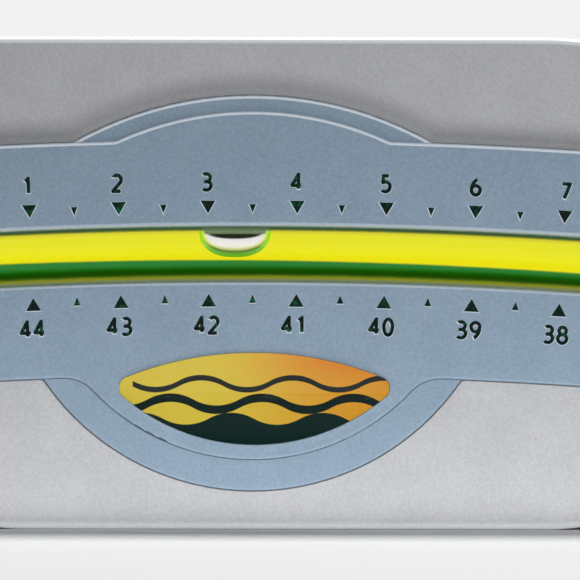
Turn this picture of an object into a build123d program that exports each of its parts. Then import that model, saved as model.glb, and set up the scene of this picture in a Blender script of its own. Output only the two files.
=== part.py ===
from build123d import *
import os
from math import cos, radians, sin, sqrt, tan

# Rowing pitch gauge, in millimetres.
# X runs to the right of the scale, Y from the front to the back, Z up.
# The origin is on the base, under the middle of the scale, halfway through the housing's depth.

# Body seen from the front
BODY_HEIGHT = 100.0
BODY_DEPTH = 22.0
GRIP_CENTRE_X = 59.5
PITCH_FACE_ANGLE = 3.5
STRETCHER_ANGLE = 41.5
BASE_CORNER_X = -61.0
STRETCHER_RISE = 36.0
BASE_BLEND_R = 37.0
HEEL_R = 8.5
TOP_CORNER_R = 12.0
FRONT_EDGE_R = 1.6
REAR_EDGE_CHAMFER = 0.8

# Walls and ribs of the housing
SIDE_WALL = 3.6
FRONT_WALL = 3.0
RIB_THICKNESS = 1.6
RIB_PITCH = 19.0
RIB_ROW_PITCH = 14.5
RIB_DEPTH = 12.0

# Rear cover, its rebate and its seal
COVER_THICKNESS = 2.6
COVER_REBATE = 1.6
COVER_GAP = 0.15
SEAL_WIDTH = 1.0
SEAL_HEIGHT = 0.9

# Cover screws and their inserts
COVER_BOSS_R = 4.2
COVER_BOSS_EDGE = 8.4
COVER_SCREW_R = 1.5
COVER_SCREW_LENGTH = 9.0
COVER_HEAD_R = 2.9
COVER_HEAD_HEIGHT = 1.7
COVER_SCREW_ANGLE = 55.0
COVER_SCREW_LOW_X = 16.0
INSERT_R = 2.3
INSERT_LENGTH = 6.0

# Pan heads with a cross recess, as shares of their radius and height
HEAD_ROUND = 0.45
CROSS_LENGTH = 1.1
CROSS_WIDTH = 0.26
CROSS_FLOOR = 0.35

# Bent vial
VIAL_BEND_R = 1026.0
VIAL_AXIS_Z = 56.0
VIAL_R = 5.5
VIAL_WALL = 0.8
VIAL_HALF_ANGLE = 4.75
VIAL_RECESS = 1.0
PLUG_DEPTH_ANGLE = 0.30
PLUG_HEAD_ANGLE = 0.11
PLUG_RING_ANGLE = 0.07
PLUG_RING_DEPTH = 0.7

# Bubble
BUBBLE_READING_ANGLE = 3.3
BUBBLE_LENGTH = 14.8
BUBBLE_DEPTH = 5.3

# Fits
RUNNING_GAP = 0.05
FILM_GAP = 0.02
SEAT_GAP = 0.1
PLUG_END_SLACK_ANGLE = 0.02
CARRIER_SETBACK = 0.3
BAY_SLACK = 0.6
SCREW_HEAD_ROOM = 0.6
CORE_HOLE_SLACK = 0.2

# How far cutting tools reach past a surface, and how deep ribs and bosses root in a wall
PAST = 1.0
ROOT = 0.5

# Scales
MIDDLE_READING_ANGLE = 3.5
FIRST_READING = 0
LAST_READING = 7
HALF_DEGREE = 0.5
UPPER_MARK_OFFSET = 9.4
LOWER_MARK_OFFSET = 9.45
MARK_WIDTH = 3.0
MARK_HEIGHT = 2.6
HALF_MARK_WIDTH = 1.35
HALF_MARK_HEIGHT = 1.7
HALF_MARK_SHIFT = 0.3
MARK_DEPTH = 0.35
PAINT_THICKNESS = 0.25

# Face plate
BAND_ABOVE_VIAL = 23.1
BAND_BELOW_VIAL = 24.7
BAND_MARGIN = 7.0
BAND_CORNER_R = 5.0
STEP_RISE = 0.9
FACE_RISE = 1.8
POCKET_DEPTH = 1.0
PLATE_EDGE_R = 0.85
UPPER_STEP_TOP_Z = 88.15
UPPER_STEP_R = 73.9
UPPER_BULGE_TOP_Z = 84.9
UPPER_BULGE_R = 66.0
LOWER_STEP_LOW_Z = 7.8
LOWER_STEP_R = 51.2
LOWER_BULGE_LOW_Z = 14.1
LOWER_BULGE_R = 44.4
LOWER_BULGE_BLEND_R = 8.0
JUNCTION_R = 1.0

# Slot of the face plate and the collar behind it
SLOT_HALF_HEIGHT = 5.6
SLOT_HALF_ANGLE = 4.0
COLLAR_THICKNESS = 1.2

# Posts and screws of the face plate
POST_R = 2.6
POST_OFFSET = 17.0
POST_ANGLE = 3.5
PLATE_SCREW_R = 1.1
PLATE_SCREW_LENGTH = 4.2
PLATE_HEAD_R = 3.4
PLATE_HEAD_HEIGHT = 1.5

# Vial carrier, its pads, strip, screws and washers
CARRIER_HALF_HEIGHT = 8.0
CARRIER_FLOOR = 2.0
CARRIER_HALF_ANGLE = 4.92
STRIP_THICKNESS = 0.25
PAD_THICKNESS = 0.9
PAD_START_ANGLE = 4.40
EAR_HALF_ANGLE = 5.38
EAR_THICKNESS = 2.5
EAR_SCREW_ANGLE = 5.15
EAR_SCREW_OFFSET = 4.3
EAR_BOSS_R = 2.7
EAR_HOLE_SLACK = 0.5
CARRIER_SCREW_R = 1.1
CARRIER_SCREW_LENGTH = 6.5
CARRIER_HEAD_R = 2.0
CARRIER_HEAD_HEIGHT = 1.4
WASHER_R = 2.5
WASHER_THICKNESS = 0.5

# Badge
BADGE_CENTRE_X = 0.4
BADGE_TOP_Z = 35.9
BADGE_TOP_R = 69.8
BADGE_LOW_Z = 17.3
BADGE_LOW_R = 41.1
BADGE_TIP_R = 2.3
BADGE_POCKET = 0.6
BADGE_GAP = 0.15
BADGE_FILM = 0.35
BADGE_INK = 0.1
DOME_EDGE = 0.6
DOME_CROWN = 1.2
DOME_CROSS_R = 36.0
DOME_RIDGE_Z = 27.6
DOME_REACH = 35.5
WAVE_LENGTH = 18.5
WAVE_HEIGHT = 2.4
WAVE_FIELD_Z = 22.6
WAVE_RIBBON_STEP = 4.3
WAVE_RIBBON_WIDTHS = (1.7, 1.1)
WAVE_SHIFT = 6.2

# Places that follow from the sizes above
FRONT_Y = -BODY_DEPTH / 2
REAR_Y = BODY_DEPTH / 2
FACE_Y = FRONT_Y - FACE_RISE
STEP_Y = FRONT_Y - STEP_RISE
PLATE_BACK_Y = FRONT_Y + POCKET_DEPTH
CAVITY_Y = FRONT_Y + FRONT_WALL
COVER_Y = REAR_Y - COVER_THICKNESS
VIAL_Y = FACE_Y + VIAL_RECESS + VIAL_R
BEND_Z = VIAL_AXIS_Z - VIAL_BEND_R
BAND_TOP_R = VIAL_BEND_R + BAND_ABOVE_VIAL
BAND_LOW_R = VIAL_BEND_R - BAND_BELOW_VIAL
BORE_R = VIAL_R - VIAL_WALL
PLUG_END_ANGLE = VIAL_HALF_ANGLE + PLUG_HEAD_ANGLE
GROOVE_R = VIAL_R + STRIP_THICKNESS + 2 * RUNNING_GAP
PAD_R = VIAL_R + PAD_THICKNESS
CARRIER_Y = VIAL_Y + CARRIER_SETBACK
CARRIER_BACK_Y = VIAL_Y + PAD_R + CARRIER_FLOOR
PLUG_ROOM_ANGLE = PLUG_END_ANGLE + PLUG_END_SLACK_ANGLE
EAR_BACK_Y = CARRIER_BACK_Y - CARRIER_FLOOR
EAR_Y = EAR_BACK_Y - EAR_THICKNESS
COLLAR_HALF_HEIGHT = SLOT_HALF_HEIGHT + COLLAR_THICKNESS
WINDOW_HALF_HEIGHT = COLLAR_HALF_HEIGHT + SEAT_GAP
BAY_HALF_HEIGHT = CARRIER_HALF_HEIGHT + BAY_SLACK
STRETCHER_RUN = STRETCHER_RISE / tan(radians(STRETCHER_ANGLE))
HEEL_X = BASE_CORNER_X - STRETCHER_RUN
TOP_LEFT_X = HEEL_X - (BODY_HEIGHT - STRETCHER_RISE) * tan(radians(PITCH_FACE_ANGLE))
BEND_AXIS = Axis((0, 0, BEND_Z), (0, 1, 0))


def standing(sketch, front, depth):
    """Solid of a front-view sketch, from the depth front to the depth front + depth."""
    return extrude(Pos(0, front, 0) * (Plane.XZ * sketch), amount=depth, dir=(0, 1, 0))


def arc_place(angle, radius):
    """Front-view place on an arc about the vial's bend centre, turned to face outwards."""
    return Pos(0, BEND_Z) * Rot(0, 0, -angle) * Pos(0, radius)


def arc_point(angle, radius):
    """Front-view point at an angle and radius about the vial's bend centre."""
    turn = radians(angle)
    return (radius * sin(turn), BEND_Z + radius * cos(turn))


def arc_disc(radius):
    """Disc about the vial's bend centre."""
    return Pos(0, BEND_Z) * Circle(radius)


def arc_wedge(half_angle):
    """Triangle about the middle of the scale that cuts arcs off at plus and minus half_angle."""
    reach = (VIAL_BEND_R + BODY_HEIGHT) / cos(radians(half_angle))
    right = arc_point(half_angle, reach)
    return make_face(Polyline((0, BEND_Z), right, (-right[0], right[1]), close=True))


def arc_slot(half_height, half_angle):
    """Round-ended slot that follows the vial."""
    strip = arc_disc(VIAL_BEND_R + half_height) - arc_disc(VIAL_BEND_R - half_height)
    slot = strip & arc_wedge(half_angle)
    for side in (-half_angle, half_angle):
        slot += arc_place(side, VIAL_BEND_R) * Circle(half_height)
    return slot


def swept_round_vial(section, start, end):
    """Solid of a section drawn at the middle of the vial, carried along its bend from start to end."""
    placed = Plane((0, VIAL_Y, VIAL_AXIS_Z), x_dir=(0, 1, 0), z_dir=(1, 0, 0)) * section
    return revolve(placed.rotate(BEND_AXIS, start), BEND_AXIS, end - start)


def bent_rod(radius, start, end):
    """Round rod on the vial's axis."""
    return swept_round_vial(Circle(radius), start, end)


def bent_ring(outer, inner, start, end):
    """Round tube on the vial's axis."""
    return swept_round_vial(Circle(outer) - Circle(inner), start, end)


def body_profile(inset=0.0):
    """Front outline: base, grip end, top, leaning pitch face and slanted stretcher face."""
    heel = (HEEL_X, STRETCHER_RISE)
    top_left = (TOP_LEFT_X, BODY_HEIGHT)
    base_corner = (BASE_CORNER_X, 0)
    points = [(GRIP_CENTRE_X, 0), (GRIP_CENTRE_X, BODY_HEIGHT), top_left, heel, base_corner]
    outline = make_face(Polyline(*points, close=True))
    for corner, radius in ((top_left, TOP_CORNER_R), (heel, HEEL_R), (base_corner, BASE_BLEND_R)):
        outline = fillet(outline.vertices().sort_by_distance((*corner, 0))[0], radius)
    outline += Pos(GRIP_CENTRE_X, BODY_HEIGHT / 2) * Circle(BODY_HEIGHT / 2)
    if inset:
        outline = offset(outline, amount=-inset)
    return outline


def on_arc(profile, radius, half_width):
    """Corners of a front-view profile that lie on an arc about the bend centre, within half_width."""
    return [
        vertex
        for vertex in profile.vertices()
        if abs(sqrt(vertex.X**2 + (vertex.Y - BEND_Z) ** 2) - radius) < 0.01 and abs(vertex.X) < half_width
    ]


def band_profile(gap=0.0):
    """Band with arched edges that stops short of the body's outline, grown by gap."""
    top_r = BAND_TOP_R + gap
    low_r = BAND_LOW_R - gap
    band = body_profile(BAND_MARGIN - gap) & (arc_disc(top_r) - arc_disc(low_r))
    corners = on_arc(band, top_r, BODY_HEIGHT * 2) + on_arc(band, low_r, BODY_HEIGHT * 2)
    return fillet(corners, BAND_CORNER_R + gap)


def bulged_band(top_z, top_r, low_z, low_r, low_blend, gap):
    """Band with part of a disc above it and part of another below it, blended where they meet."""
    above = Pos(0, top_z - top_r) * Circle(top_r + gap) - arc_disc(VIAL_BEND_R)
    below = Pos(0, low_z + low_r) * Circle(low_r + gap) & arc_disc(VIAL_BEND_R)
    profile = band_profile(gap) + above + below
    profile = fillet(on_arc(profile, BAND_TOP_R + gap, top_r), JUNCTION_R - gap)
    return fillet(on_arc(profile, BAND_LOW_R - gap, low_r), low_blend - gap)


def step_profile(gap=0.0):
    """Outline of the face plate's lower step, grown by gap."""
    return bulged_band(UPPER_STEP_TOP_Z, UPPER_STEP_R, LOWER_STEP_LOW_Z, LOWER_STEP_R, JUNCTION_R, gap)


def face_profile():
    """Outline of the face plate's raised face, with wide blends at the feet of its lower bulge."""
    upper = (UPPER_BULGE_TOP_Z, UPPER_BULGE_R)
    lower = (LOWER_BULGE_LOW_Z, LOWER_BULGE_R)
    return bulged_band(*upper, *lower, LOWER_BULGE_BLEND_R, 0)


def badge_profile(gap=0.0):
    """Lens of two arcs with rounded tips, grown by gap."""
    top = Pos(BADGE_CENTRE_X, BADGE_TOP_Z - BADGE_TOP_R) * Circle(BADGE_TOP_R + gap)
    low = Pos(BADGE_CENTRE_X, BADGE_LOW_Z + BADGE_LOW_R) * Circle(BADGE_LOW_R + gap)
    lens = top & low
    return fillet(lens.vertices(), BADGE_TIP_R + gap)


def triangle(width, height):
    """Triangle that points down, centred on its middle height."""
    top_corners = [(-width / 2, height / 2), (width / 2, height / 2)]
    return make_face(Polyline(*top_corners, (0, -height / 2), close=True))


def whole_readings():
    """Angles of the whole degrees, from the middle of the scale."""
    return [reading - MIDDLE_READING_ANGLE for reading in range(FIRST_READING, LAST_READING + 1)]


def half_readings():
    """Angles of the half degrees, from the middle of the scale."""
    return [reading + HALF_DEGREE - MIDDLE_READING_ANGLE for reading in range(FIRST_READING, LAST_READING)]


def scale_marks(upper, whole):
    """Front-view triangles of one row of one scale; their points face the vial."""
    width, height = (MARK_WIDTH, MARK_HEIGHT) if whole else (HALF_MARK_WIDTH, HALF_MARK_HEIGHT)
    shift = 0 if whole else HALF_MARK_SHIFT
    radius = VIAL_BEND_R + UPPER_MARK_OFFSET - shift if upper else VIAL_BEND_R - LOWER_MARK_OFFSET + shift
    mark = triangle(width, height) if upper else Rot(0, 0, 180) * triangle(width, height)
    return [arc_place(angle, radius) * mark for angle in (whole_readings() if whole else half_readings())]


def post_places():
    """Front-view centres of the posts behind the face plate."""
    radii = (VIAL_BEND_R + POST_OFFSET, VIAL_BEND_R - POST_OFFSET)
    return [arc_point(angle, radius) for radius in radii for angle in (-POST_ANGLE, 0, POST_ANGLE)]


def ear_places():
    """Front-view centres of the carrier's four screws."""
    radii = (VIAL_BEND_R + EAR_SCREW_OFFSET, VIAL_BEND_R - EAR_SCREW_OFFSET)
    return [arc_point(angle, radius) for angle in (-EAR_SCREW_ANGLE, EAR_SCREW_ANGLE) for radius in radii]


def cover_places():
    """Front-view centres of the cover's screws, all at one distance from the outline."""
    edge = COVER_BOSS_EDGE
    grip_r = BODY_HEIGHT / 2 - edge
    turn = radians(COVER_SCREW_ANGLE)
    grip_x = GRIP_CENTRE_X + grip_r * cos(turn)
    grip_z = grip_r * sin(turn)
    heel_lift = edge * tan(radians(90 - STRETCHER_ANGLE - PITCH_FACE_ANGLE) / 2)
    return [
        (TOP_LEFT_X + edge + BODY_HEIGHT * tan(radians(PITCH_FACE_ANGLE)) / 2, BODY_HEIGHT - edge),
        (0, BODY_HEIGHT - edge),
        (grip_x, BODY_HEIGHT / 2 + grip_z),
        (grip_x, BODY_HEIGHT / 2 - grip_z),
        (COVER_SCREW_LOW_X, edge),
        (BASE_CORNER_X + edge + BASE_BLEND_R / 10, edge),
        (HEEL_X + edge, STRETCHER_RISE + heel_lift - edge / 8),
    ]


def rods(places, radius, start, length):
    """Round rods along Y at front-view places."""
    rod = Circle(radius)
    return [standing(Pos(*place) * rod, start, length) for place in places]


def screw(place, radius, length, head_r, head_height, seat_y):
    """Pan-head screw that goes in from behind: its head rests on seat_y and its shank runs forward."""
    head = standing(Pos(*place) * Circle(head_r), seat_y, head_height)
    crown = head.edges().filter_by(GeomType.CIRCLE).sort_by(Axis.Y)[-1]
    head = fillet(crown, head_height * HEAD_ROUND)
    shank = standing(Pos(*place) * Circle(radius), seat_y - length, length)
    slot = Rectangle(head_r * CROSS_LENGTH, head_r * CROSS_WIDTH)
    cross = Pos(*place) * (slot + Rot(0, 0, 90) * slot)
    return head + shank - standing(cross, seat_y + head_height * CROSS_FLOOR, head_height)


def rib_sketch():
    """Upright ribs and ribs that follow the vial, with the vial's bay left open."""
    ribs = Sketch()
    x = GRIP_CENTRE_X + BODY_HEIGHT / 2 - RIB_PITCH
    while x > TOP_LEFT_X:
        ribs += Pos(x, BODY_HEIGHT / 2) * Rectangle(RIB_THICKNESS, BODY_HEIGHT)
        x -= RIB_PITCH
    bay = arc_disc(VIAL_BEND_R + BAY_HALF_HEIGHT) - arc_disc(VIAL_BEND_R - BAY_HALF_HEIGHT)
    ribs -= bay
    for row in range(3):
        low_r = VIAL_BEND_R - BAY_HALF_HEIGHT - row * RIB_ROW_PITCH
        ribs += arc_disc(low_r) - arc_disc(low_r - RIB_THICKNESS)
    for row in range(2):
        top_r = VIAL_BEND_R + BAY_HALF_HEIGHT + row * RIB_ROW_PITCH
        ribs += arc_disc(top_r + RIB_THICKNESS) - arc_disc(top_r)
    return ribs & body_profile(SIDE_WALL / 2)


def make_housing():
    """Moulded housing: one shell open to the back, with the reference faces, ribs, bosses and window."""
    shell = standing(body_profile(), FRONT_Y, BODY_DEPTH)
    shell = fillet(shell.edges().group_by(Axis.Y)[0], FRONT_EDGE_R)
    shell = chamfer(shell.edges().group_by(Axis.Y)[-1], REAR_EDGE_CHAMFER)
    shell -= standing(body_profile(SIDE_WALL), CAVITY_Y, BODY_DEPTH)
    shell -= standing(body_profile(COVER_REBATE), COVER_Y, BODY_DEPTH)
    inside = standing(body_profile(SIDE_WALL / 2), CAVITY_Y - ROOT, COVER_Y - CAVITY_Y + ROOT)
    ribs = standing(rib_sketch(), CAVITY_Y - ROOT, RIB_DEPTH + ROOT)
    for relief in rods(post_places(), PLATE_HEAD_R + SCREW_HEAD_ROOM, CAVITY_Y, RIB_DEPTH):
        ribs -= relief
    shell += ribs
    for boss in rods(cover_places(), COVER_BOSS_R, CAVITY_Y - ROOT, COVER_Y - CAVITY_Y + ROOT):
        shell += boss & inside
    for boss in rods(ear_places(), EAR_BOSS_R, CAVITY_Y - ROOT, EAR_Y - CAVITY_Y + ROOT):
        shell += boss
    shell -= standing(step_profile(SEAT_GAP), FRONT_Y - PAST, POCKET_DEPTH + PAST)
    shell -= standing(arc_slot(WINDOW_HALF_HEIGHT, SLOT_HALF_ANGLE), FRONT_Y, FRONT_WALL + PAST)
    shell -= bent_rod(VIAL_R + SEAT_GAP, -PLUG_ROOM_ANGLE, PLUG_ROOM_ANGLE)
    for hole in rods(post_places(), POST_R + SEAT_GAP, FRONT_Y, FRONT_WALL + PAST):
        shell -= hole
    insert_y = COVER_Y - INSERT_LENGTH
    for hole in rods(cover_places(), INSERT_R, insert_y, INSERT_LENGTH + PAST):
        shell -= hole
    core = COVER_SCREW_LENGTH - INSERT_LENGTH + PAST
    for hole in rods(cover_places(), COVER_SCREW_R + CORE_HOLE_SLACK, insert_y - core, core + PAST):
        shell -= hole
    ear_hole = EAR_Y - CAVITY_Y + 2 * PAST
    for hole in rods(ear_places(), CARRIER_SCREW_R + RUNNING_GAP, CAVITY_Y - PAST, ear_hole):
        shell -= hole
    return shell - standing(seal_ring(), COVER_Y - SEAL_HEIGHT, SEAL_HEIGHT + PAST)


def seal_ring(gap=0.0):
    """Front outline of the ring in the middle of the cover's ledge, slimmer by gap on each side."""
    ledge = (SIDE_WALL + COVER_REBATE - SEAL_WIDTH) / 2
    return body_profile(ledge + gap) - body_profile(ledge + SEAL_WIDTH - gap)


def make_cover_seal():
    """Cord seal in the groove of the housing's ledge."""
    return standing(seal_ring(RUNNING_GAP), COVER_Y - SEAL_HEIGHT, SEAL_HEIGHT)


def make_rear_cover():
    """Flat cover in the housing's rebate, with counterbored screw holes."""
    cover = standing(body_profile(COVER_REBATE + COVER_GAP), COVER_Y, COVER_THICKNESS)
    cover = chamfer(cover.edges().group_by(Axis.Y)[-1], REAR_EDGE_CHAMFER / 2)
    for hole in rods(cover_places(), COVER_SCREW_R + SEAT_GAP, COVER_Y - PAST, COVER_THICKNESS + 2 * PAST):
        cover -= hole
    seat_y = REAR_Y - COVER_HEAD_HEIGHT
    for recess in rods(cover_places(), COVER_HEAD_R + 2 * SEAT_GAP, seat_y, COVER_HEAD_HEIGHT + PAST):
        cover -= recess
    return cover


def make_cover_screws():
    """Pan-head screws of the rear cover, flush with it."""
    seat = REAR_Y - COVER_HEAD_HEIGHT
    size = (COVER_SCREW_R, COVER_SCREW_LENGTH, COVER_HEAD_R, COVER_HEAD_HEIGHT, seat)
    return [screw(place, *size) for place in cover_places()]


def make_cover_inserts():
    """Threaded inserts pressed into the housing's bosses."""
    outer = rods(cover_places(), INSERT_R, COVER_Y - INSERT_LENGTH, INSERT_LENGTH)
    inner = rods(cover_places(), COVER_SCREW_R + RUNNING_GAP, COVER_Y - INSERT_LENGTH, INSERT_LENGTH)
    return [sleeve - hole for sleeve, hole in zip(outer, inner)]


def make_face_plate():
    """Face plate: two steps, filleted lips, a collar round the vial, posts and engraved pockets."""
    step = standing(step_profile(), STEP_Y, PLATE_BACK_Y - STEP_Y)
    step = fillet(step.edges().group_by(Axis.Y)[0], PLATE_EDGE_R)
    slot = arc_slot(SLOT_HALF_HEIGHT, SLOT_HALF_ANGLE)
    face = standing(face_profile() - slot, FACE_Y, PLATE_BACK_Y - FACE_Y)
    face = fillet(face.edges().group_by(Axis.Y)[0], PLATE_EDGE_R)
    plate = step - standing(slot, FACE_Y, VIAL_Y - FACE_Y)
    plate += face
    collar = arc_slot(COLLAR_HALF_HEIGHT, SLOT_HALF_ANGLE) - slot
    plate += standing(collar, PLATE_BACK_Y, VIAL_Y - PLATE_BACK_Y)
    for post in rods(post_places(), POST_R, PLATE_BACK_Y, CAVITY_Y - PLATE_BACK_Y):
        plate += post
    bore = PLATE_SCREW_LENGTH + PAST
    for hole in rods(post_places(), PLATE_SCREW_R + RUNNING_GAP, CAVITY_Y - PLATE_SCREW_LENGTH, bore):
        plate -= hole
    plate -= bent_rod(VIAL_R + SEAT_GAP, -PLUG_ROOM_ANGLE, PLUG_ROOM_ANGLE)
    for upper in (True, False):
        for whole in (True, False):
            for mark in scale_marks(upper, whole):
                plate -= standing(mark, FACE_Y - PAST, MARK_DEPTH + PAST)
    return plate - standing(badge_profile(BADGE_GAP), FACE_Y - PAST, BADGE_POCKET + PAST)


def make_plate_screws():
    """Screws that hold the face plate's posts from inside the housing."""
    size = (PLATE_SCREW_R, PLATE_SCREW_LENGTH, PLATE_HEAD_R, PLATE_HEAD_HEIGHT, CAVITY_Y)
    return [screw(place, *size) for place in post_places()]


def make_scale_paint(upper, whole):
    """Paint fills of one row of engraved triangles."""
    depth = FACE_Y + MARK_DEPTH - PAINT_THICKNESS
    return [standing(mark, depth, PAINT_THICKNESS) for mark in scale_marks(upper, whole)]


def make_vial_tube():
    """Bent clear tube."""
    return bent_ring(VIAL_R, BORE_R, -VIAL_HALF_ANGLE, VIAL_HALF_ANGLE)


def make_vial_fluid():
    """Liquid between the plugs, with the bubble left out at the top of the bore."""
    end = VIAL_HALF_ANGLE - PLUG_DEPTH_ANGLE
    fluid = bent_rod(BORE_R - FILM_GAP, -end, end)
    bubble = arc_place(BUBBLE_READING_ANGLE - MIDDLE_READING_ANGLE, VIAL_BEND_R + BORE_R)
    bubble = bubble * Ellipse(BUBBLE_LENGTH / 2, BUBBLE_DEPTH)
    return fluid - standing(bubble, VIAL_Y - VIAL_R, 2 * VIAL_R)


def make_vial_plug(side):
    """Plug of one end of the vial, with a head outside and a groove for its ring."""
    angles = [VIAL_HALF_ANGLE - PLUG_DEPTH_ANGLE, VIAL_HALF_ANGLE, PLUG_END_ANGLE]
    start, lip, end = [side * angle for angle in angles]
    plug = bent_rod(BORE_R - RUNNING_GAP, start, lip) + bent_rod(VIAL_R, lip, end)
    ring_start, ring_end = ring_angles(side)
    return plug - bent_ring(BORE_R, BORE_R - PLUG_RING_DEPTH, ring_start, ring_end)


def ring_angles(side):
    """Where the sealing ring starts and ends on one plug."""
    middle = VIAL_HALF_ANGLE - PLUG_DEPTH_ANGLE / 2
    return side * (middle - PLUG_RING_ANGLE / 2), side * (middle + PLUG_RING_ANGLE / 2)


def make_plug_seal(side):
    """Sealing ring in the groove of one plug."""
    start, end = ring_angles(side)
    return bent_ring(BORE_R, BORE_R - PLUG_RING_DEPTH, start, end)


def make_vial_carrier():
    """Channel behind the vial with a screwed ear at each end."""
    height = 2 * CARRIER_HALF_HEIGHT
    depth = CARRIER_BACK_Y - CARRIER_Y
    channel = Pos(CARRIER_Y - VIAL_Y + depth / 2, 0) * Rectangle(depth, height)
    channel = swept_round_vial(channel, -CARRIER_HALF_ANGLE, CARRIER_HALF_ANGLE)
    ear = Pos(EAR_Y - VIAL_Y + EAR_THICKNESS / 2, 0) * Rectangle(EAR_THICKNESS, height)
    carrier = channel + swept_round_vial(ear, -EAR_HALF_ANGLE, EAR_HALF_ANGLE)
    carrier -= bent_rod(GROOVE_R, -CARRIER_HALF_ANGLE, CARRIER_HALF_ANGLE)
    for side in (-1, 1):
        carrier -= bent_rod(PAD_R, side * PAD_START_ANGLE, side * VIAL_HALF_ANGLE)
    for hole in rods(ear_places(), CARRIER_SCREW_R + EAR_HOLE_SLACK, EAR_Y - PAST, EAR_THICKNESS + 2 * PAST):
        carrier -= hole
    return carrier


def half_behind(solid):
    """The part of a solid on the vial that lies behind the carrier's front edge."""
    length = 2 * (GRIP_CENTRE_X + BODY_HEIGHT)
    behind = Pos(0, CARRIER_Y + BODY_DEPTH / 2, VIAL_AXIS_Z) * Box(length, BODY_DEPTH, BODY_HEIGHT)
    return solid & behind


def make_reflector_strip():
    """Pale strip wrapped round the back of the vial, in the carrier's groove."""
    inner = VIAL_R + RUNNING_GAP
    return half_behind(bent_ring(inner + STRIP_THICKNESS, inner, -PAD_START_ANGLE, PAD_START_ANGLE))


def make_vial_pad(side):
    """Soft pad between the carrier and one end of the vial."""
    ring = bent_ring(PAD_R, VIAL_R, side * PAD_START_ANGLE, side * VIAL_HALF_ANGLE)
    return half_behind(ring)


def make_carrier_washers():
    """Washers that bridge the carrier's oversize holes."""
    outer = rods(ear_places(), WASHER_R, EAR_BACK_Y, WASHER_THICKNESS)
    inner = rods(ear_places(), CARRIER_SCREW_R + RUNNING_GAP, EAR_BACK_Y, WASHER_THICKNESS)
    return [washer - hole for washer, hole in zip(outer, inner)]


def make_carrier_screws():
    """Screws that fix the carrier's ears to the housing's bosses."""
    seat = EAR_BACK_Y + WASHER_THICKNESS
    size = (CARRIER_SCREW_R, CARRIER_SCREW_LENGTH, CARRIER_HEAD_R, CARRIER_HEAD_HEIGHT, seat)
    return [screw(place, *size) for place in ear_places()]


def wave_line(height, shift):
    """Row of arcs from left to right of the badge, alternately crest and trough."""
    half = WAVE_LENGTH / 2
    start = BADGE_CENTRE_X - 2 * WAVE_LENGTH + shift
    arcs = []
    for index in range(8):
        left = start + index * half
        rise = WAVE_HEIGHT / 2 if index % 2 else -WAVE_HEIGHT / 2
        arcs.append(ThreePointArc((left, height), (left + half / 2, height + rise), (left + half, height)))
    return arcs


def wave_band(low, high, shift):
    """Field between two wave lines."""
    top = wave_line(high, shift)
    bottom = wave_line(low, shift)
    left = Line(top[0] @ 0, bottom[0] @ 0)
    right = Line(top[-1] @ 1, bottom[-1] @ 1)
    return make_face(top + bottom + [left, right])


def badge_ink():
    """Dark fields of the badge: a rippled lower field and two ribbons above it."""
    bands = [wave_band(BADGE_LOW_Z - BADGE_LOW_R / 4, WAVE_FIELD_Z, 0)]
    for index, width in enumerate(WAVE_RIBBON_WIDTHS):
        low = WAVE_FIELD_Z + WAVE_RIBBON_STEP * (index + 0.5)
        bands.append(wave_band(low, low + width, WAVE_SHIFT * (index + 1)))
    return [band & badge_profile() for band in bands]


def make_badge_film():
    """Printed film on the floor of the badge's pocket, with room for the dark fields."""
    back = FACE_Y + BADGE_POCKET
    film = standing(badge_profile(), back - BADGE_FILM, BADGE_FILM)
    for field in badge_ink():
        film -= standing(field, back - BADGE_FILM - PAST, BADGE_INK + PAST)
    return film


def make_badge_print():
    """Dark printed fields of the badge."""
    top = FACE_Y + BADGE_POCKET - BADGE_FILM
    solids = []
    for field in badge_ink():
        solids += standing(field, top, BADGE_INK).solids()
    return solids


def make_badge_dome():
    """Clear resin over the film, crowned along and across the badge."""
    back = FACE_Y + BADGE_POCKET - BADGE_FILM
    top = back - DOME_EDGE - DOME_CROWN
    prism = standing(badge_profile(), top, back - top)
    crown = ThreePointArc((-DOME_REACH, top + DOME_CROWN), (0, top), (DOME_REACH, top + DOME_CROWN))
    axis_y = top + DOME_CROSS_R
    ends = [Line(crown @ side, ((crown @ side).X, axis_y)) for side in (0, 1)]
    half = make_face([crown, *ends, Line(ends[0] @ 1, ends[1] @ 1)])
    barrel = revolve(half, Axis((0, axis_y, 0), (1, 0, 0)), 360)
    return prism & Pos(BADGE_CENTRE_X, 0, DOME_RIDGE_Z) * barrel


def save(name, shape):
    """Write one node, a single solid or a group of separate ones."""
    group = shape if isinstance(shape, list) else shape.solids()
    body = group[0] if len(group) == 1 else Compound(children=list(group))
    body.label = name
    export_step(body, f"parts/{name}.step")


def main():
    os.makedirs("parts", exist_ok=True)
    save("housing", make_housing())
    save("rear_cover", make_rear_cover())
    save("cover_seal", make_cover_seal())
    save("cover_screws", make_cover_screws())
    save("cover_inserts", make_cover_inserts())
    save("face_plate", make_face_plate())
    save("plate_screws", make_plate_screws())
    save("upper_degree_marks", make_scale_paint(True, True))
    save("upper_half_marks", make_scale_paint(True, False))
    save("lower_degree_marks", make_scale_paint(False, True))
    save("lower_half_marks", make_scale_paint(False, False))
    save("vial_tube", make_vial_tube())
    save("vial_fluid", make_vial_fluid())
    save("vial_carrier", make_vial_carrier())
    save("reflector_strip", make_reflector_strip())
    save("carrier_washers", make_carrier_washers())
    save("carrier_screws", make_carrier_screws())
    for side, word in ((-1, "left"), (1, "right")):
        save(f"vial_plug_{word}", make_vial_plug(side))
        save(f"plug_seal_{word}", make_plug_seal(side))
        save(f"vial_pad_{word}", make_vial_pad(side))
    save("badge_film", make_badge_film())
    save("badge_print", make_badge_print())
    save("badge_dome", make_badge_dome())


main()
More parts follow.
